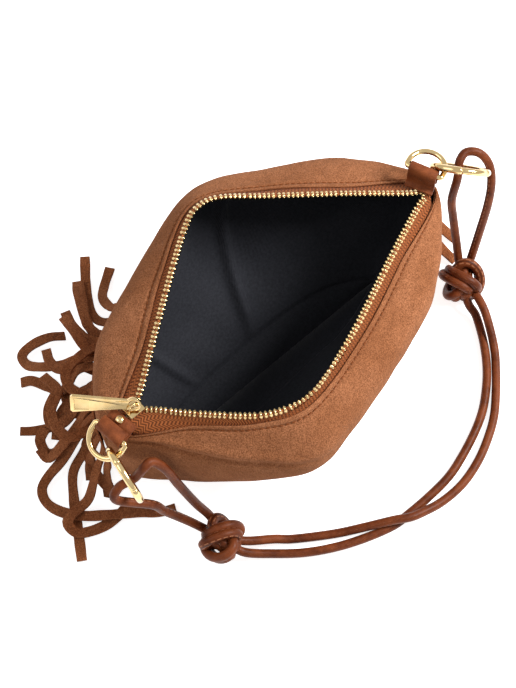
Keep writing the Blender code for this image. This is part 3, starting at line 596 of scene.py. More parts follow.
def speckle_group():
    """A mask of fine spots: noise put through a soft threshold."""
    group = bpy.data.node_groups.get("Speckle")
    if group:
        return group
    group = bpy.data.node_groups.new("Speckle", "ShaderNodeTree")
    for name, low, high, value in (("Scale", 1, 20000, 400), ("Low", 0, 1, 0.4), ("High", 0, 1, 0.6)):
        socket = group.interface.new_socket(name, in_out="INPUT", socket_type="NodeSocketFloat")
        socket.min_value = low
        socket.max_value = high
        socket.default_value = value
    group.interface.new_socket("Mask", in_out="OUTPUT", socket_type="NodeSocketFloat")
    nodes = group.nodes
    links = group.links
    entry = nodes.new("NodeGroupInput")
    spots = nodes.new("ShaderNodeTexNoise")
    spots.inputs["Detail"].default_value = 4
    spots.inputs["Roughness"].default_value = 0.6
    place = nodes.new("ShaderNodeTexCoord")
    ramp = nodes.new("ShaderNodeMapRange")
    leave = nodes.new("NodeGroupOutput")
    links.new(place.outputs["Object"], spots.inputs["Vector"])
    links.new(entry.outputs["Scale"], spots.inputs["Scale"])
    links.new(spots.outputs["Fac"], ramp.inputs["Value"])
    links.new(entry.outputs["Low"], ramp.inputs["From Min"])
    links.new(entry.outputs["High"], ramp.inputs["From Max"])
    links.new(ramp.outputs["Result"], leave.inputs["Mask"])
    return group


class Maker:
    """Small helpers for one material's node tree."""

    def __init__(self, name):
        self.material = bpy.data.materials.new(name)
        self.material.use_nodes = True
        self.nodes = self.material.node_tree.nodes
        self.links = self.material.node_tree.links
        self.shader = self.nodes["Principled BSDF"]

    def set(self, **values):
        for name, value in values.items():
            self.shader.inputs[name.replace("_", " ")].default_value = value
        return self

    def speckle(self, scale, low, high):
        node = self.nodes.new("ShaderNodeGroup")
        node.node_tree = speckle_group()
        node.inputs["Scale"].default_value = scale
        node.inputs["Low"].default_value = low
        node.inputs["High"].default_value = high
        return node.outputs["Mask"]

    def flip(self, mask):
        return self.math("SUBTRACT", 1.0, mask)

    def mix(self, mask, first, second, share=1):
        """A colour mixed by a share of a mask; first and second are colours or sockets."""
        if share != 1:
            mask = self.math("MULTIPLY", mask, share)
        node = self.nodes.new("ShaderNodeMix")
        node.data_type = "RGBA"
        self.links.new(mask, node.inputs["Factor"])
        for socket, value in ((node.inputs[6], first), (node.inputs[7], second)):
            if isinstance(value, bpy.types.NodeSocket):
                self.links.new(value, socket)
            else:
                socket.default_value = (*value, 1)
        return node.outputs[2]

    def math(self, kind, first, second=None):
        node = self.nodes.new("ShaderNodeMath")
        node.operation = kind
        for socket, value in zip(node.inputs, (first, second)):
            if isinstance(value, bpy.types.NodeSocket):
                self.links.new(value, socket)
            elif value is not None:
                socket.default_value = value
        return node.outputs[0]

    def split_uv(self):
        place = self.nodes.new("ShaderNodeTexCoord")
        split = self.nodes.new("ShaderNodeSeparateXYZ")
        self.links.new(place.outputs["UV"], split.inputs[0])
        return split.outputs[0], split.outputs[1]

    def bump(self, height, strength, distance):
        node = self.nodes.new("ShaderNodeBump")
        node.inputs["Strength"].default_value = strength
        node.inputs["Distance"].default_value = distance * MM
        self.links.new(height, node.inputs["Height"])
        self.links.new(node.outputs["Normal"], self.shader.inputs["Normal"])
        return self

    def colour(self, socket):
        self.links.new(socket, self.shader.inputs["Base Color"])
        return self


def suede(name, deep, plain, light, sheen):
    """Brushed hide: a fine nap, soft patches where the nap lies another way and a dusty sheen."""
    make = Maker(name).set(Roughness=0.95, Specular_IOR_Level=0.05, Sheen_Weight=sheen, Sheen_Roughness=0.6,
                           Sheen_Tint=(1.0, 0.72, 0.5, 1))
    nap = make.speckle(1500, 0.38, 0.62)
    patches = make.speckle(40, 0.38, 0.64)
    streaks = make.speckle(300, 0.3, 0.7)
    tone = make.mix(patches, plain, light)
    tone = make.mix(make.flip(streaks), tone, deep, 0.3)
    tone = make.mix(make.flip(nap), tone, deep, 0.75)
    height = make.math("ADD", make.math("MULTIPLY", nap, 0.5), streaks)
    return make.colour(tone).bump(height, 0.8, 0.4).material


def leather(name, deep, plain, roughness, seam=None):
    """Smooth leather: fine grain, darker pores and, on a cord, a stitched seam along one side with painted
    shade in its groove.
    """
    make = Maker(name).set(Specular_IOR_Level=0.12, Coat_Weight=0.02, Coat_Roughness=0.15)
    pores = make.speckle(2200, 0.42, 0.58)
    clouds = make.speckle(110, 0.35, 0.65)
    tone = make.mix(clouds, deep, plain)
    tone = make.mix(make.flip(pores), tone, deep, 0.3)
    rough = make.math("ADD", make.math("MULTIPLY", clouds, 0.14), roughness)
    make.links.new(rough, make.shader.inputs["Roughness"])
    height = pores
    if seam:
        length, turn = make.split_uv()
        off = make.math("ABSOLUTE", make.math("SUBTRACT", turn, seam))
        groove = make.math("LESS_THAN", off, 0.022)
        beside = make.math("LESS_THAN", make.math("ABSOLUTE", make.math("SUBTRACT", off, 0.075)), 0.018)
        dash = make.math("LESS_THAN", make.math("FRACT", make.math("DIVIDE", length, 3.1)), 0.62)
        stitch = make.math("MULTIPLY", beside, dash)
        # Painted shade: the seam's groove is darkened nearly to black, on top of its bump
        tone = make.mix(groove, tone, [part * 0.35 for part in deep], 0.8)
        tone = make.mix(stitch, tone, (0.42, 0.17, 0.08), 0.75)
        height = make.math("ADD", make.math("MULTIPLY", pores, 0.25),
                           make.math("SUBTRACT", make.math("MULTIPLY", stitch, 1.2),
                                     make.math("MULTIPLY", groove, 1.6)))
    return make.colour(tone).bump(height, 0.5, 0.15).material


def woven_tape(name, bright):
    """Herringbone tape: short slanted ribs whose slant turns over every 2 mm across."""
    make = Maker(name).set(Roughness=0.85, Specular_IOR_Level=0.15, Sheen_Weight=0.05)
    length, across = make.split_uv()
    zigzag = make.math("PINGPONG", across, 2.0)
    phase = make.math("ADD", make.math("MULTIPLY", length, 0.55), make.math("MULTIPLY", zigzag, 0.55))
    ribs = make.math("MULTIPLY", make.math("PINGPONG", phase, 0.5), 2.0)
    fuzz = make.speckle(900, 0.35, 0.65)
    tone = make.mix(ribs, (0.05, 0.013, 0.004), bright)
    tone = make.mix(make.flip(fuzz), tone, (0.12, 0.035, 0.012), 0.3)
    return make.colour(tone).bump(ribs, 0.7, 0.25).material


def lining_cloth(name, bright):
    """Charcoal twill: fine slanted threads with a faint cross weave."""
    make = Maker(name).set(Roughness=0.72, Specular_IOR_Level=0.12, Sheen_Weight=0.15, Sheen_Roughness=0.4)
    length, across = make.split_uv()
    warp = make.math("PINGPONG", make.math("ADD", length, make.math("MULTIPLY", across, 0.7)), 0.45)
    weft = make.math("PINGPONG", make.math("SUBTRACT", across, make.math("MULTIPLY", length, 0.35)), 0.6)
    height = make.math("ADD", make.math("MULTIPLY", warp, 1.5), make.math("MULTIPLY", weft, 0.8))
    fuzz = make.speckle(700, 0.35, 0.65)
    tone = make.mix(warp, (0.008, 0.008, 0.0105), bright, 1.6)
    tone = make.mix(fuzz, tone, (0.045, 0.047, 0.057), 0.3)
    return make.colour(tone).bump(height, 0.35, 0.12).material


def gold(name, bright):
    """Polished pale gold plate with faint wear on the shine."""
    make = Maker(name).set(Metallic=1.0)
    wear = make.speckle(500, 0.35, 0.7)
    rough = make.math("ADD", make.math("MULTIPLY", wear, 0.05), 0.1)
    make.links.new(rough, make.shader.inputs["Roughness"])
    tone = make.mix(make.speckle(160, 0.3, 0.7), (0.62, 0.43, 0.19), bright)
    return make.colour(tone).material


def thread(name, colour):
    """Sewing thread with the light and dark of its twist."""
    make = Maker(name).set(Roughness=0.9, Specular_IOR_Level=0.1)
    twist = make.speckle(3000, 0.4, 0.6)
    tone = make.mix(twist, [part * 0.6 for part in colour], colour)
    return make.colour(tone).bump(twist, 0.4, 0.08).material


def make_finish(slot):
    """The material of a slot, with the colours that the settings give."""
    bag = settings()
    if slot == "suede":
        return suede("suede_fine", (0.13, 0.042, 0.016), tuple(bag.suede_colour), (0.5, 0.2, 0.09), 0.06)
    if slot == "fringe_suede":
        return suede("fringe_suede_fine", (0.11, 0.03, 0.011), tuple(bag.fringe_colour),
                     (0.5, 0.185, 0.075), 0.05)
    if slot == "lining_fabric":
        return lining_cloth("lining_fine", tuple(bag.lining_colour))
    if slot == "zip_tape":
        return woven_tape("zip_tape_fine", tuple(bag.tape_colour))
    if slot == "pale_gold":
        return gold("pale_gold_fine", tuple(bag.gold_colour))
    if slot == "tab_leather":
        return leather("tab_leather_fine", (0.13, 0.032, 0.01), tuple(bag.tab_colour), 0.42)
    if slot == "cord_leather":
        return leather("cord_leather_fine", (0.09, 0.02, 0.006), tuple(bag.cord_colour), 0.34, seam=0.25)
    return thread("seam_thread", (0.24, 0.07, 0.022))


def finish_of(slot):
    """The shared material of a slot, made the first time it is asked for."""
    if slot not in FINISHES:
        FINISHES[slot] = make_finish(slot)
    return FINISHES[slot]


FINISHES = {}


# Settings

def length_setting(name, about, value, low, high):
    return bpy.props.FloatProperty(
        name=name, description=about, default=value, min=low, max=high, unit="LENGTH")


def colour_setting(name, about, value):
    return bpy.props.FloatVectorProperty(
        name=name, description=about, default=value, min=0, max=1, subtype="COLOR")


class BagSettings(bpy.types.PropertyGroup):
    fold_height: length_setting("Fold height", "How far the suede's soft folds rise", 0.0011, 0, 0.003)
    stitch_pitch: length_setting(
        "Stitch pitch", "Distance from one seam stitch to the next", 0.0032, 0.001, 0.01)
    tooth_pitch: length_setting(
        "Tooth pitch", "Distance from one zip tooth to the next", 0.0025, 0.001, 0.01)
    lace_width: length_setting("Lace width", "Width of a fringe lace", 0.0054, 0.002, 0.01)
    suede_colour: colour_setting(
        "Suede colour", "Plain tone of the panels' suede", (0.38, 0.142, 0.058))
    fringe_colour: colour_setting(
        "Fringe colour", "Plain tone of the band and its laces", (0.39, 0.13, 0.048))
    lining_colour: colour_setting(
        "Lining colour", "Tone of the lining's raised threads", (0.037, 0.0385, 0.047))
    tape_colour: colour_setting(
        "Tape colour", "Tone of the zip tape's raised ribs", (0.46, 0.135, 0.038))
    tab_colour: colour_setting(
        "Tab colour", "Plain tone of the end tabs' leather", (0.31, 0.085, 0.027))
    cord_colour: colour_setting(
        "Cord colour", "Plain tone of the handle cord's leather", (0.22, 0.056, 0.017))
    gold_colour: colour_setting(
        "Gold colour", "Tone of the metal's bright plate", (0.72, 0.54, 0.28))


class StageSettings(bpy.types.PropertyGroup):
    sky: bpy.props.FloatProperty(
        name="Sky", description="Brightness of the white surroundings", default=0.38, min=0, max=3)
    floor_glow: bpy.props.FloatProperty(
        name="Floor glow", description="White that the camera sees on the floor on top of its own light",
        default=0.8, min=0, max=1)
    key: bpy.props.FloatProperty(
        name="Key", description="Power of the main soft light, in watts", default=15.5, min=0, max=100)


def settings():
    return bpy.context.scene.bag_settings


# Pieces

class BAG_OT_panels(bpy.types.Operator):
    """Suede panels with soft folds, a turned top edge and a crease under the mouth"""
    bl_idname = "bag.panels"
    bl_label = "Suede panels"

    def execute(self, context):
        for name, first in (("front_panel", 0), ("back_panel", HALF)):
            u = first + HALF * (0.5 - 0.5 * np.cos(np.linspace(0.035, math.pi - 0.035, 190)))
            v = np.concatenate([np.linspace(0, 0.16, 7)[:-1], np.linspace(0.16, 4.0, 84), [4.3, 4.65, 5]])
            uu, vv = np.meshgrid(u, v)
            shape = body(uu, vv)
            inner = 1 - bump(vv, 0, 0.35) - 0.9 * (vv > 4)
            edges = 1 - bump(uu, first, 0.12) - bump(uu, first + HALF, 0.12)
            fold = settings().fold_height / MM
            rise = fold * ripple(shape, 34, 1 + first) + 0.45 * fold * ripple(shape * (1, 1, 0.6), 13, 3)
            rise = rise * np.clip(inner, 0, 1) * np.clip(edges, 0.1, 1)
            if first:
                path = np.interp(uu, CREASE[:, 0], CREASE[:, 1])
                there = np.interp(uu, CREASE[:, 0], CREASE[:, 2])
                rise += there * (1.2 * bump(vv, path - 0.1, 0.12) - 1.4 * bump(vv, path + 0.1, 0.08))
            rise -= 0.8 * bump(vv, STITCH_LEVEL, 0.026) + 0.25 * bump(vv, 0, 0.02)
            seam = np.minimum(np.abs(uu - first), np.abs(uu - first - HALF))
            rise -= 1.3 * np.exp(-(seam / 0.02) ** 2)
            points = shape + body_normal(uu, vv) * rise[..., None]
            if first:
                base = body(uu[-1:], vv[-1:])
                lid = body(STATIONS - uu[-1:], vv[-1:]) * 0.98
                lid[..., 2] = base[..., 2]
                points = np.concatenate([points, lid])
            points[..., 2] = np.maximum(points[..., 2], 0)
            obj = add_sheet(name + "_fine", points, finish_of("suede"), SUEDE, -1, edge=0.35)
            make_outward(obj)
            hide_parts(name)
            seat(obj, "bag")
        return {"FINISHED"}


def make_outward(obj):
    """Turn a sheet's faces away from the middle of the bag."""
    middle = Vector((0, 0, 0.05))
    facing = sum((face.center - middle).dot(face.normal) * face.area for face in obj.data.polygons)
    if facing < 0:
        obj.data.flip_normals()


class BAG_OT_stitching(bpy.types.Operator):
    """Seam stitches along the panels' top edges"""
    bl_idname = "bag.stitching"
    bl_label = "Seam stitching"

    def execute(self, context):
        pitch = settings().stitch_pitch / MM
        places = []
        for first in (0, HALF):
            u = np.linspace(first + 0.05, first + HALF - 0.05, 900)
            line = body(u, STITCH_LEVEL)
            normal = body_normal(u, STITCH_LEVEL)
            distance = distances(line)
            for mark in np.arange(pitch, distance[-1], pitch):
                i = int(np.searchsorted(distance, mark))
                along = line[min(i + 3, len(line) - 1)] - line[i - 3]
                along /= np.linalg.norm(along)
                out = normal[i]
                places.append((line[i] - out * STITCH_SINK, along, np.cross(out, along), out))
        stitch = stitch_pattern(STITCH_LENGTH, STITCH_THICKNESS)
        obj = stamp("rim_stitching", stitch, places, finish_of("thread"))
        seat(obj, "bag")
        return {"FINISHED"}


class BAG_OT_lining(bpy.types.Operator):
    """Twill lining with loose folds and a bottom seam"""
    bl_idname = "bag.lining"
    bl_label = "Lining"

    def execute(self, context):
        u = np.linspace(0, STATIONS, 281)
        v = np.concatenate([np.linspace(0.12, 4.1, 86), [4.5, 4.75, 5]])
        uu, vv = np.meshgrid(u, v)
        shape = body(uu, vv)
        inner = np.clip((vv - 0.25) / 0.6, 0, 1) * (vv < 4.4)
        folds = 0.5 + 0.5 * ripple(shape * (1, 1, 0.45), 17, 11)
        deep = 0.5 + 0.5 * ripple(shape * (0.8, 1, 0.8), 36, 13)
        depth = LINING_DEPTH + inner * (2.2 * folds + 3.0 * deep)
        ridges = bump(uu, 3.6 - 0.16 * vv, 0.09)
        ridges += 0.5 * bump(uu, 1.35 + 0.16 * vv, 0.07)
        ridges += 0.5 * bump(uu, 10.6 - 0.18 * vv, 0.08)
        depth = depth + 4.5 * np.interp(vv, [0.2, 0.8, 3.6, 4.2], [0, 1, 1, 0]) * ridges
        points = shape - body_normal(uu, vv) * depth[..., None]
        points[-1] = body(np.where(u <= HALF, u, STATIONS - u), 5.0)
        points[-1, :, 1] = -1.0
        points[-3:, :, 2] = np.maximum(points[-3:, :, 2], 2.0)
        points[-1, :, 2] = 2.1
        along = distances(body(u, 1.5))
        uv = np.stack(np.broadcast_arrays(along[None, :], vv * 26), -1)
        points = points[:, :-1]
        uv = uv[:, :-1]
        faces = grid_faces(*points.shape[:2], closed=True)
        obj = add_mesh("lining_fine", points.reshape(-1, 3), faces, finish_of("lining_fabric"),
                       uv.reshape(-1, 2))
        make_outward(obj)
        solid = obj.modifiers.new("Thickness", "SOLIDIFY")
        solid.thickness = LINING_THICKNESS * MM
        solid.offset = -1
        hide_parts("lining")
        seat(obj, "bag")
        return {"FINISHED"}


class BAG_OT_zip(bpy.types.Operator):
    """Herringbone tapes, their cords and rows of metal teeth"""
    bl_idname = "bag.zip"
    bl_label = "Zip tapes and teeth"

    def execute(self, context):
        pitch = settings().tooth_pitch / MM
        tooth = block_pattern(TOOTH, 0.35, 2)
        head = block_pattern(TOOTH_HEAD, 0.22)
        places = []
        tips = []
        for name, row, first, last in (
            ("zip_tape_front", FRONT_ROW, 0.3, HALF - 0.3),
            ("zip_tape_back", BACK_ROW, STATIONS - 0.3, HALF + 0.3),
        ):
            edge = smooth_line(row, 0.6)
            u = np.linspace(first, last, len(edge))
            under = body_layer(u, 0.05, TAPE_DEPTH)
            deep = body_layer(u, 0.42, TAPE_DEPTH)
            share = np.linspace(0, 1, 9)[:, None, None]
            bow = (0.7 * np.sin(math.pi * share)) * np.array([0, 0, 1.0])
            points = edge * (1 - share) + under * share + bow
            points = np.concatenate([points, (under + deep)[None] / 2, deep[None]])
            along = distances(edge)
            across = np.concatenate([[np.zeros(len(u))],
                                     np.cumsum(np.linalg.norm(np.diff(points, axis=0), axis=2), axis=0)])
            uv = np.stack(np.broadcast_arrays(along[None, :], across), -1)
            woven = finish_of("zip_tape")
            tape = add_sheet(name + "_fine", points, woven, TAPE, 0, uv=uv, edge=0.2)
            make_outward(tape)
            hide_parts(name)
            seat(tape, "bag")
            cord = add_tube(name + "_cord", smooth_line(edge, 1.2), TAPE_CORD_RADIUS, woven, 10)
            seat(cord, "bag")
            tangent = directions(edge)
            for mark in np.arange(TEETH_FROM, along[-1] - TEETH_TO_END, pitch):
                i = int(np.searchsorted(along, mark))
                inward = edge[i] - under[i]
                inward -= tangent[i] * inward.dot(tangent[i])
                inward[2] *= 0.4
                inward /= np.linalg.norm(inward)
                up = np.cross(tangent[i], inward)
                up /= np.linalg.norm(up)
                if up[2] < 0:
                    up = -up
                x = np.cross(inward, up)
                places.append((edge[i] + inward * 0.1, x, inward, up))
                tips.append((edge[i] + inward * 1.5, x, inward, up))
        teeth = stamp("zip_teeth", tooth, places, finish_of("pale_gold"))
        seat(teeth, "bag")
        heads = stamp("zip_tooth_heads", head, tips, finish_of("pale_gold"))
        seat(heads, "bag")
        return {"FINISHED"}


class BAG_OT_metal(bpy.types.Operator):
    """Slider, pull, stops, rivet, D-rings and spring rings in pale gold"""
    bl_idname = "bag.metal"
    bl_label = "Metal ware"

    def execute(self, context):
        metal = finish_of("pale_gold")
        for node, width in (("slider", 0.3), ("bottom_stop", 0.2), ("top_stop_front", 0.2),
                            ("top_stop_back", 0.2), ("rivet", 0.12)):
            seat(from_model(node, metal, width), "bag")
        seat(from_model("pull_tab", metal, 0.3, 3), "zip_pull")
        for end in (LEFT, RIGHT):
            bar = end["bar"]
            turns = np.linspace(0, math.pi, 40)[:, None]
            bow = bar + end["bow"] * D_LEG + (
                end["across"] * np.cos(turns) + end["bow"] * np.sin(turns)) * D_BAR_HALF
            straight = np.linspace(-0.93, 0.93, 12)[:, None] * end["across"] * D_BAR_HALF + bar
            corner = end["bow"] * 0.75
            line = np.concatenate([
                straight, [bar + end["across"] * D_BAR_HALF + corner], bow,
                [bar - end["across"] * D_BAR_HALF + corner],
            ])
            ring = add_tube("d_ring_" + end["side"] + "_fine", line, D_WIRE / 2, metal, 16,
                            start=np.cross(end["across"], end["bow"]), closed=True)
            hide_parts("d_ring_" + end["side"])
            seat(ring, end["side"] + "_d_ring")
            self.spring_ring(end, metal)
        return {"FINISHED"}

    def spring_ring(self, end, metal):
        """A round ring that stops short of its gate at both ends, and the gate between them."""
        hinge = on_ring(end, GATE_HINGE)
        chord = on_ring(end, GATE_TIP) - hinge
        chord /= np.linalg.norm(chord)
        gap = math.degrees(GATE_HINGE_GAP / BIG_RING_RADIUS)
        turns = np.linspace(GATE_TIP + 6, GATE_HINGE + 360 - gap, 90)
        line = np.array([on_ring(end, turn) for turn in turns])
        line = np.concatenate([[line[0] - chord], line])
        ring = add_tube("spring_ring_" + end["side"] + "_fine", line, BIG_RING_WIRE / 2, metal, 20,
                        start=end["facing"])
        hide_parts("spring_ring_" + end["side"])
        seat(ring, "handle")
        turns = np.linspace(GATE_HINGE, GATE_TIP - 3, 26)
        gate = [on_ring(end, turn) for turn in turns]
        reach = (line[0] - gate[-1]).dot(chord) - GATE_TIP_GAP
        gate.append(gate[-1] + chord * reach)
        gate = add_tube("ring_gate_" + end["side"] + "_fine", np.array(gate), GATE_WIRE / 2, metal, 18,
                        start=end["facing"])
        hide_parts("ring_gate_" + end["side"])
        seat(gate, end["side"] + "_gate")


def on_ring(end, turn, radius=BIG_RING_RADIUS):
    """A point in the spring ring's plane, by degrees from its outer end."""
    angle = math.radians(turn)
    sideways = np.cross(end["facing"], end["reach"])
    return end["ring"] + (end["reach"] * math.cos(angle) + sideways * math.sin(angle)) * radius


class BAG_OT_tabs(bpy.types.Operator):
    """Leather end tabs folded over the D-rings"""
    bl_idname = "bag.tabs"
    bl_label = "End tabs"

    def execute(self, context):
        for side in ("left", "right"):
            seat(from_model("end_tab_" + side, finish_of("tab_leather"), 0.28), "bag")
        return {"FINISHED"}


class BAG_OT_handle(bpy.types.Operator):
    """Rolled leather handle cord with its loops, strands and knots"""
    bl_idname = "bag.handle"
    bl_label = "Handle cord"

    def execute(self, context):
        cord = finish_of("cord_leather")
        loops = {
            "left": LEFT_LOOP_UP + through_ring(LEFT) + LEFT_LOOP_DOWN,
            "right": RIGHT_LOOP_UP + through_ring(RIGHT) + RIGHT_LOOP_DOWN,
        }
        knots = {side: self.knot(side, cord) for side in ("left", "right")}
        for name, points, pieces in (
            ("cord_loop_left", loops["left"], [knots["left"]]),
            ("cord_loop_right", loops["right"], [knots["right"]]),
            ("cord_outer_strand", OUTER_STRAND, []),
            ("cord_inner_strand", INNER_STRAND, []),
        ):
            line = smooth_line(into_knots(points), 1.5)
            obj = add_tube(name + "_fine", line, CORD / 2, cord, 24, start=SEAM_SIDE)
            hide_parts(name)
            seat(obj, "handle")
        return {"FINISHED"}

    def knot(self, side, cord):
        """Two cords side by side, wound over and under each other around the strands."""
        centre, axis, start = KNOTS[side]
        centre = np.array(centre, float)
        axis = np.array(axis, float) / np.linalg.norm(axis)
        level = np.cross(axis, (0, 0, 1))
        level /= np.linalg.norm(level)
        upper = np.cross(level, axis)
        turns = np.linspace(0, 2 * math.pi, 240, endpoint=False)[:, None]
        around = level * np.cos(2 * turns) + upper * np.sin(2 * turns)
        weave = 3 * turns + start
        outward = around * np.cos(weave) + axis * np.sin(weave)
        ring = around * (KNOT_RADIUS + KNOT_WEAVE * np.cos(weave))
        line = centre + ring + axis * KNOT_REACH * np.sin(weave)
        beside = np.cross(directions(np.concatenate([line[-1:], line, line[:1]]))[1:-1], outward)
        beside /= np.linalg.norm(beside, axis=1, keepdims=True)
        obj, *others = (
            add_tube("knot_" + side + "_fine", line + beside * apart, KNOT_CORD_RADIUS, cord, 20,
                     start=outward, closed=True)
            for apart in (-KNOT_CORD_APART, KNOT_CORD_APART))
        core = centre + axis * np.linspace(-KNOT_CORE_HALF, KNOT_CORE_HALF, 12)[:, None]
        others.append(add_tube("knot_core", core, KNOT_CORE_RADIUS, cord, 20, start=level))
        bm = bmesh.new()
        for piece in (obj, *others):
            bm.from_mesh(piece.data)
        bm.to_mesh(obj.data)
        bm.free()
        for piece in others:
            bpy.data.objects.remove(piece)
        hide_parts("knot_" + side)
        return seat(obj, "handle")


def into_knots(points):
    """Lengthen a cord's ends into the knots that they come out of."""
    ends = []
    for spot in (np.array(points[0], float), np.array(points[-1], float)):
        centre = min((np.array(knot[0], float) for knot in KNOTS.values()),
                     key=lambda middle: np.linalg.norm(middle - spot))
        ends.append([tuple(spot + (centre - spot) * share) for share in INTO_KNOT])
    return ends[0][::-1] + points + ends[1]


def through_ring(end):
    """Where a loop passes its ring, along the ring's facing."""
    spot = on_ring(end, CORD_TURN, BIG_RING_RADIUS - (BIG_RING_WIRE + CORD) / 2 - TOUCH)
    return [tuple(spot + end["facing"] * step) for step in IN_RING]


class BAG_OT_fringe(bpy.types.Operator):
    """Stitched band and cut suede laces"""
    bl_idname = "bag.fringe"
    bl_label = "Fringe"

    def execute(self, context):
        hide = finish_of("fringe_suede")
        u = np.linspace(0.14, HALF - 0.14, 160)
        uu, vv = np.meshgrid(u, np.linspace(BAND_TOP, BAND_BOTTOM, 9))
        strip = body_layer(uu, vv, -TOUCH - 0.2)
        band = add_sheet("fringe_band_fine", strip, hide, SUEDE, 1)
        make_outward(band)
        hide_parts("fringe_band")
        seat(band, "bag")
        for name, station, points in LACES:
            root = [body_layer(station, BAND_BOTTOM + 0.03, -1.3), body_layer(station, 2.45, -2.4)]
            route = [tuple(point) for point in root] + points
            lace = self.lace(name, route, hide, body_normal(station, BAND_BOTTOM))
            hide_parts(name)
        curls = [self.lace(name, points, hide, np.array([0, 0, 1.0])) for name, points in CURLS]
        return {"FINISHED"}

    def lace(self, name, points, hide, outward):
        """A cut strip with slightly waved edges that curls along its route."""
        width = settings().lace_width / MM
        line = smooth_line(points, 1.5)
        tangent = directions(line)
        length = line_length(line)
        share = np.linspace(0, 1, len(line))
        first = np.linalg.norm(np.diff(np.array(points[:2]), axis=0)) / length
        lying = np.interp(share, (first, min(1, 3.2 * first + 0.1)), (0, 1))[:, None]
        side = np.cross(tangent, outward * (1 - lying) + np.array([0, 0, 1.0]) * lying)
        side /= np.linalg.norm(side, axis=1, keepdims=True)
        lift = np.cross(side, tangent)
        seed = float(sum(map(ord, name)))
        wave = np.array([noise.noise(Vector((s * length / 9, seed, 0.5))) for s in share])
        curl = np.array([noise.noise(Vector((s * length / 16, seed, 4.5))) for s in share])
        curl *= np.interp(share, (0, 0.25, 1), (0, 0.35, 1))
        across = np.linspace(-1, 1, 7)
        rows = []
        for i in range(len(line)):
            half = width / 2 * (1 + 0.13 * wave[i])
            bend = 0.45 * curl[i] * (across ** 2 - 0.4)
            rows.append(line[i] + side[i] * (across[:, None] * half) + lift[i] * bend[:, None])
        points = np.array(rows)
        points[..., 2] = np.maximum(points[..., 2], LACE_LOWEST)
        obj = add_sheet(name + "_fine", points, hide, LACE_THICKNESS, 0, edge=0.25)
        return seat(obj, "bag")


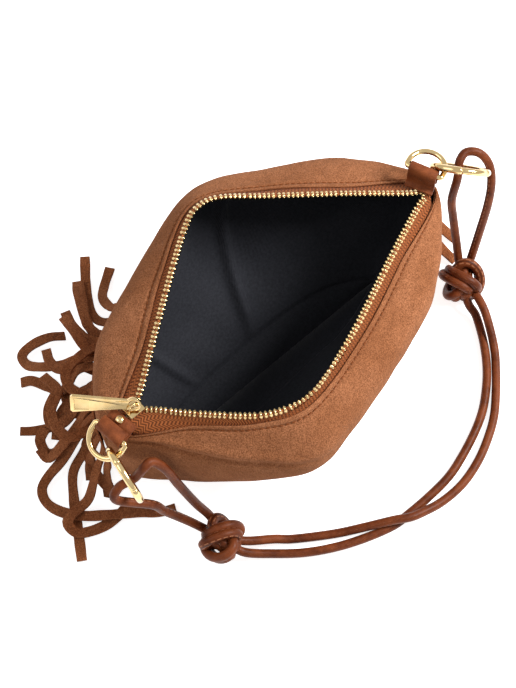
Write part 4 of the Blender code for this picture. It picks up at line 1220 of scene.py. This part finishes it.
class BAG_OT_stage(bpy.types.Operator):
    """Camera, lights, white surroundings and floor"""
    bl_idname = "bag.stage"
    bl_label = "Stage"

    def execute(self, context):
        scene = context.scene
        stage = scene.stage_settings
        back = np.array([
            -math.sin(CAMERA_TURN) * math.cos(CAMERA_RISE),
            -math.cos(CAMERA_TURN) * math.cos(CAMERA_RISE),
            math.sin(CAMERA_RISE),
        ])
        camera = bpy.data.cameras.new("camera")
        view = bpy.data.objects.new("camera", camera)
        scene.collection.objects.link(view)
        view.location = mm(np.array(CAMERA_CENTRE) + back * CAMERA_DISTANCE)
        view.rotation_euler = Vector(back).to_track_quat("Z", "Y").to_euler()
        camera.sensor_width = 36
        camera.lens = PIXELS_PER_MM * CAMERA_DISTANCE / PHOTO_HEIGHT * camera.sensor_width
        camera.shift_x = PHOTO_SHIFT[0] / PHOTO_HEIGHT
        camera.shift_y = PHOTO_SHIFT[1] / PHOTO_HEIGHT
        camera.clip_start = 0.05
        scene.camera = view
        scene.view_settings.view_transform = "Standard"

        floor = Maker("floor_white").set(Base_Color=(1, 1, 1, 1), Roughness=0.9, Specular_IOR_Level=0.0)
        glow = floor.math("MULTIPLY", seen_white(floor.nodes, floor.links), stage.floor_glow)
        floor.links.new(glow, floor.shader.inputs["Emission Strength"])
        floor.set(Emission_Color=(1, 1, 1, 1))
        corners = [(x * FLOOR_HALF, y * FLOOR_HALF, 0) for x, y in ((-1, -1), (1, -1), (1, 1), (-1, 1))]
        ground = add_mesh("floor", corners, [(0, 1, 2, 3)], floor.material, smooth=False)
        ground.location.z = -0.0003
        for name, place, size, power in (
            ("key", (640, -430, 800), 450, stage.key),
            ("fill", (-700, 500, 900), 900, stage.key * 0.25),
        ):
            light = bpy.data.lights.new(name, "AREA")
            light.shape = "DISK"
            light.size = size * MM
            light.energy = power
            lamp = bpy.data.objects.new(name, light)
            scene.collection.objects.link(lamp)
            lamp.location = mm(place)
            lamp.rotation_euler = (lamp.location - mm((0, 0, 60))).to_track_quat("Z", "Y").to_euler()
        self.sky(scene)
        return {"FINISHED"}

    def sky(self, scene):
        """White that the camera and the reflections see, over softer white that lights the bag."""
        world = bpy.data.worlds.new("white")
        scene.world = world
        world.use_nodes = True
        nodes = world.node_tree.nodes
        links = world.node_tree.links
        soft = nodes["Background"]
        soft.inputs["Color"].default_value = (1, 1, 1, 1)
        soft.inputs["Strength"].default_value = scene.stage_settings.sky
        plain = nodes.new("ShaderNodeBackground")
        plain.inputs["Strength"].default_value = 1
        mix = nodes.new("ShaderNodeMixShader")
        links.new(seen_white(nodes, links), mix.inputs["Fac"])
        links.new(soft.outputs[0], mix.inputs[1])
        links.new(plain.outputs[0], mix.inputs[2])
        links.new(mix.outputs[0], nodes["World Output"].inputs["Surface"])


def seen_white(nodes, links):
    """1 where the camera, a reflection or clear glass sees the background, and 0 for its light."""
    path = nodes.new("ShaderNodeLightPath")
    seen = path.outputs["Is Camera Ray"]
    for kind in ("Is Glossy Ray", "Is Transmission Ray"):
        either = nodes.new("ShaderNodeMath")
        either.operation = "MAXIMUM"
        links.new(seen, either.inputs[0])
        links.new(path.outputs[kind], either.inputs[1])
        seen = either.outputs[0]
    return seen


class BAG_PT_panel(bpy.types.Panel):
    """The bag's pieces, in the order in which they are made"""
    bl_idname = "BAG_PT_panel"
    bl_label = "Fringed suede bag"
    bl_space_type = "VIEW_3D"
    bl_region_type = "UI"
    bl_category = "Bag"

    def draw(self, context):
        layout = self.layout
        bag = context.scene.bag_settings
        stage = context.scene.stage_settings
        for name in BagSettings.__annotations__:
            layout.prop(bag, name)
        for name in StageSettings.__annotations__:
            layout.prop(stage, name)
        for operator in STEPS:
            layout.operator(operator.bl_idname)


STEPS = (
    BAG_OT_stage, BAG_OT_handle, BAG_OT_panels, BAG_OT_stitching, BAG_OT_lining, BAG_OT_zip,
    BAG_OT_metal, BAG_OT_tabs, BAG_OT_fringe,
)
CLASSES = (BagSettings, StageSettings) + STEPS + (BAG_PT_panel,)


def register():
    for item in CLASSES:
        bpy.utils.register_class(item)
    bpy.types.Scene.bag_settings = bpy.props.PointerProperty(type=BagSettings)
    bpy.types.Scene.stage_settings = bpy.props.PointerProperty(type=StageSettings)


def unregister():
    del bpy.types.Scene.stage_settings
    del bpy.types.Scene.bag_settings
    for item in reversed(CLASSES):
        bpy.utils.unregister_class(item)


def main():
    register()
    bpy.ops.bag.stage()
    bpy.ops.bag.handle()
    bpy.ops.bag.panels()
    bpy.ops.bag.stitching()
    bpy.ops.bag.lining()
    bpy.ops.bag.zip()
    bpy.ops.bag.metal()
    bpy.ops.bag.tabs()
    bpy.ops.bag.fringe()


if __name__ == "__main__":
    main()
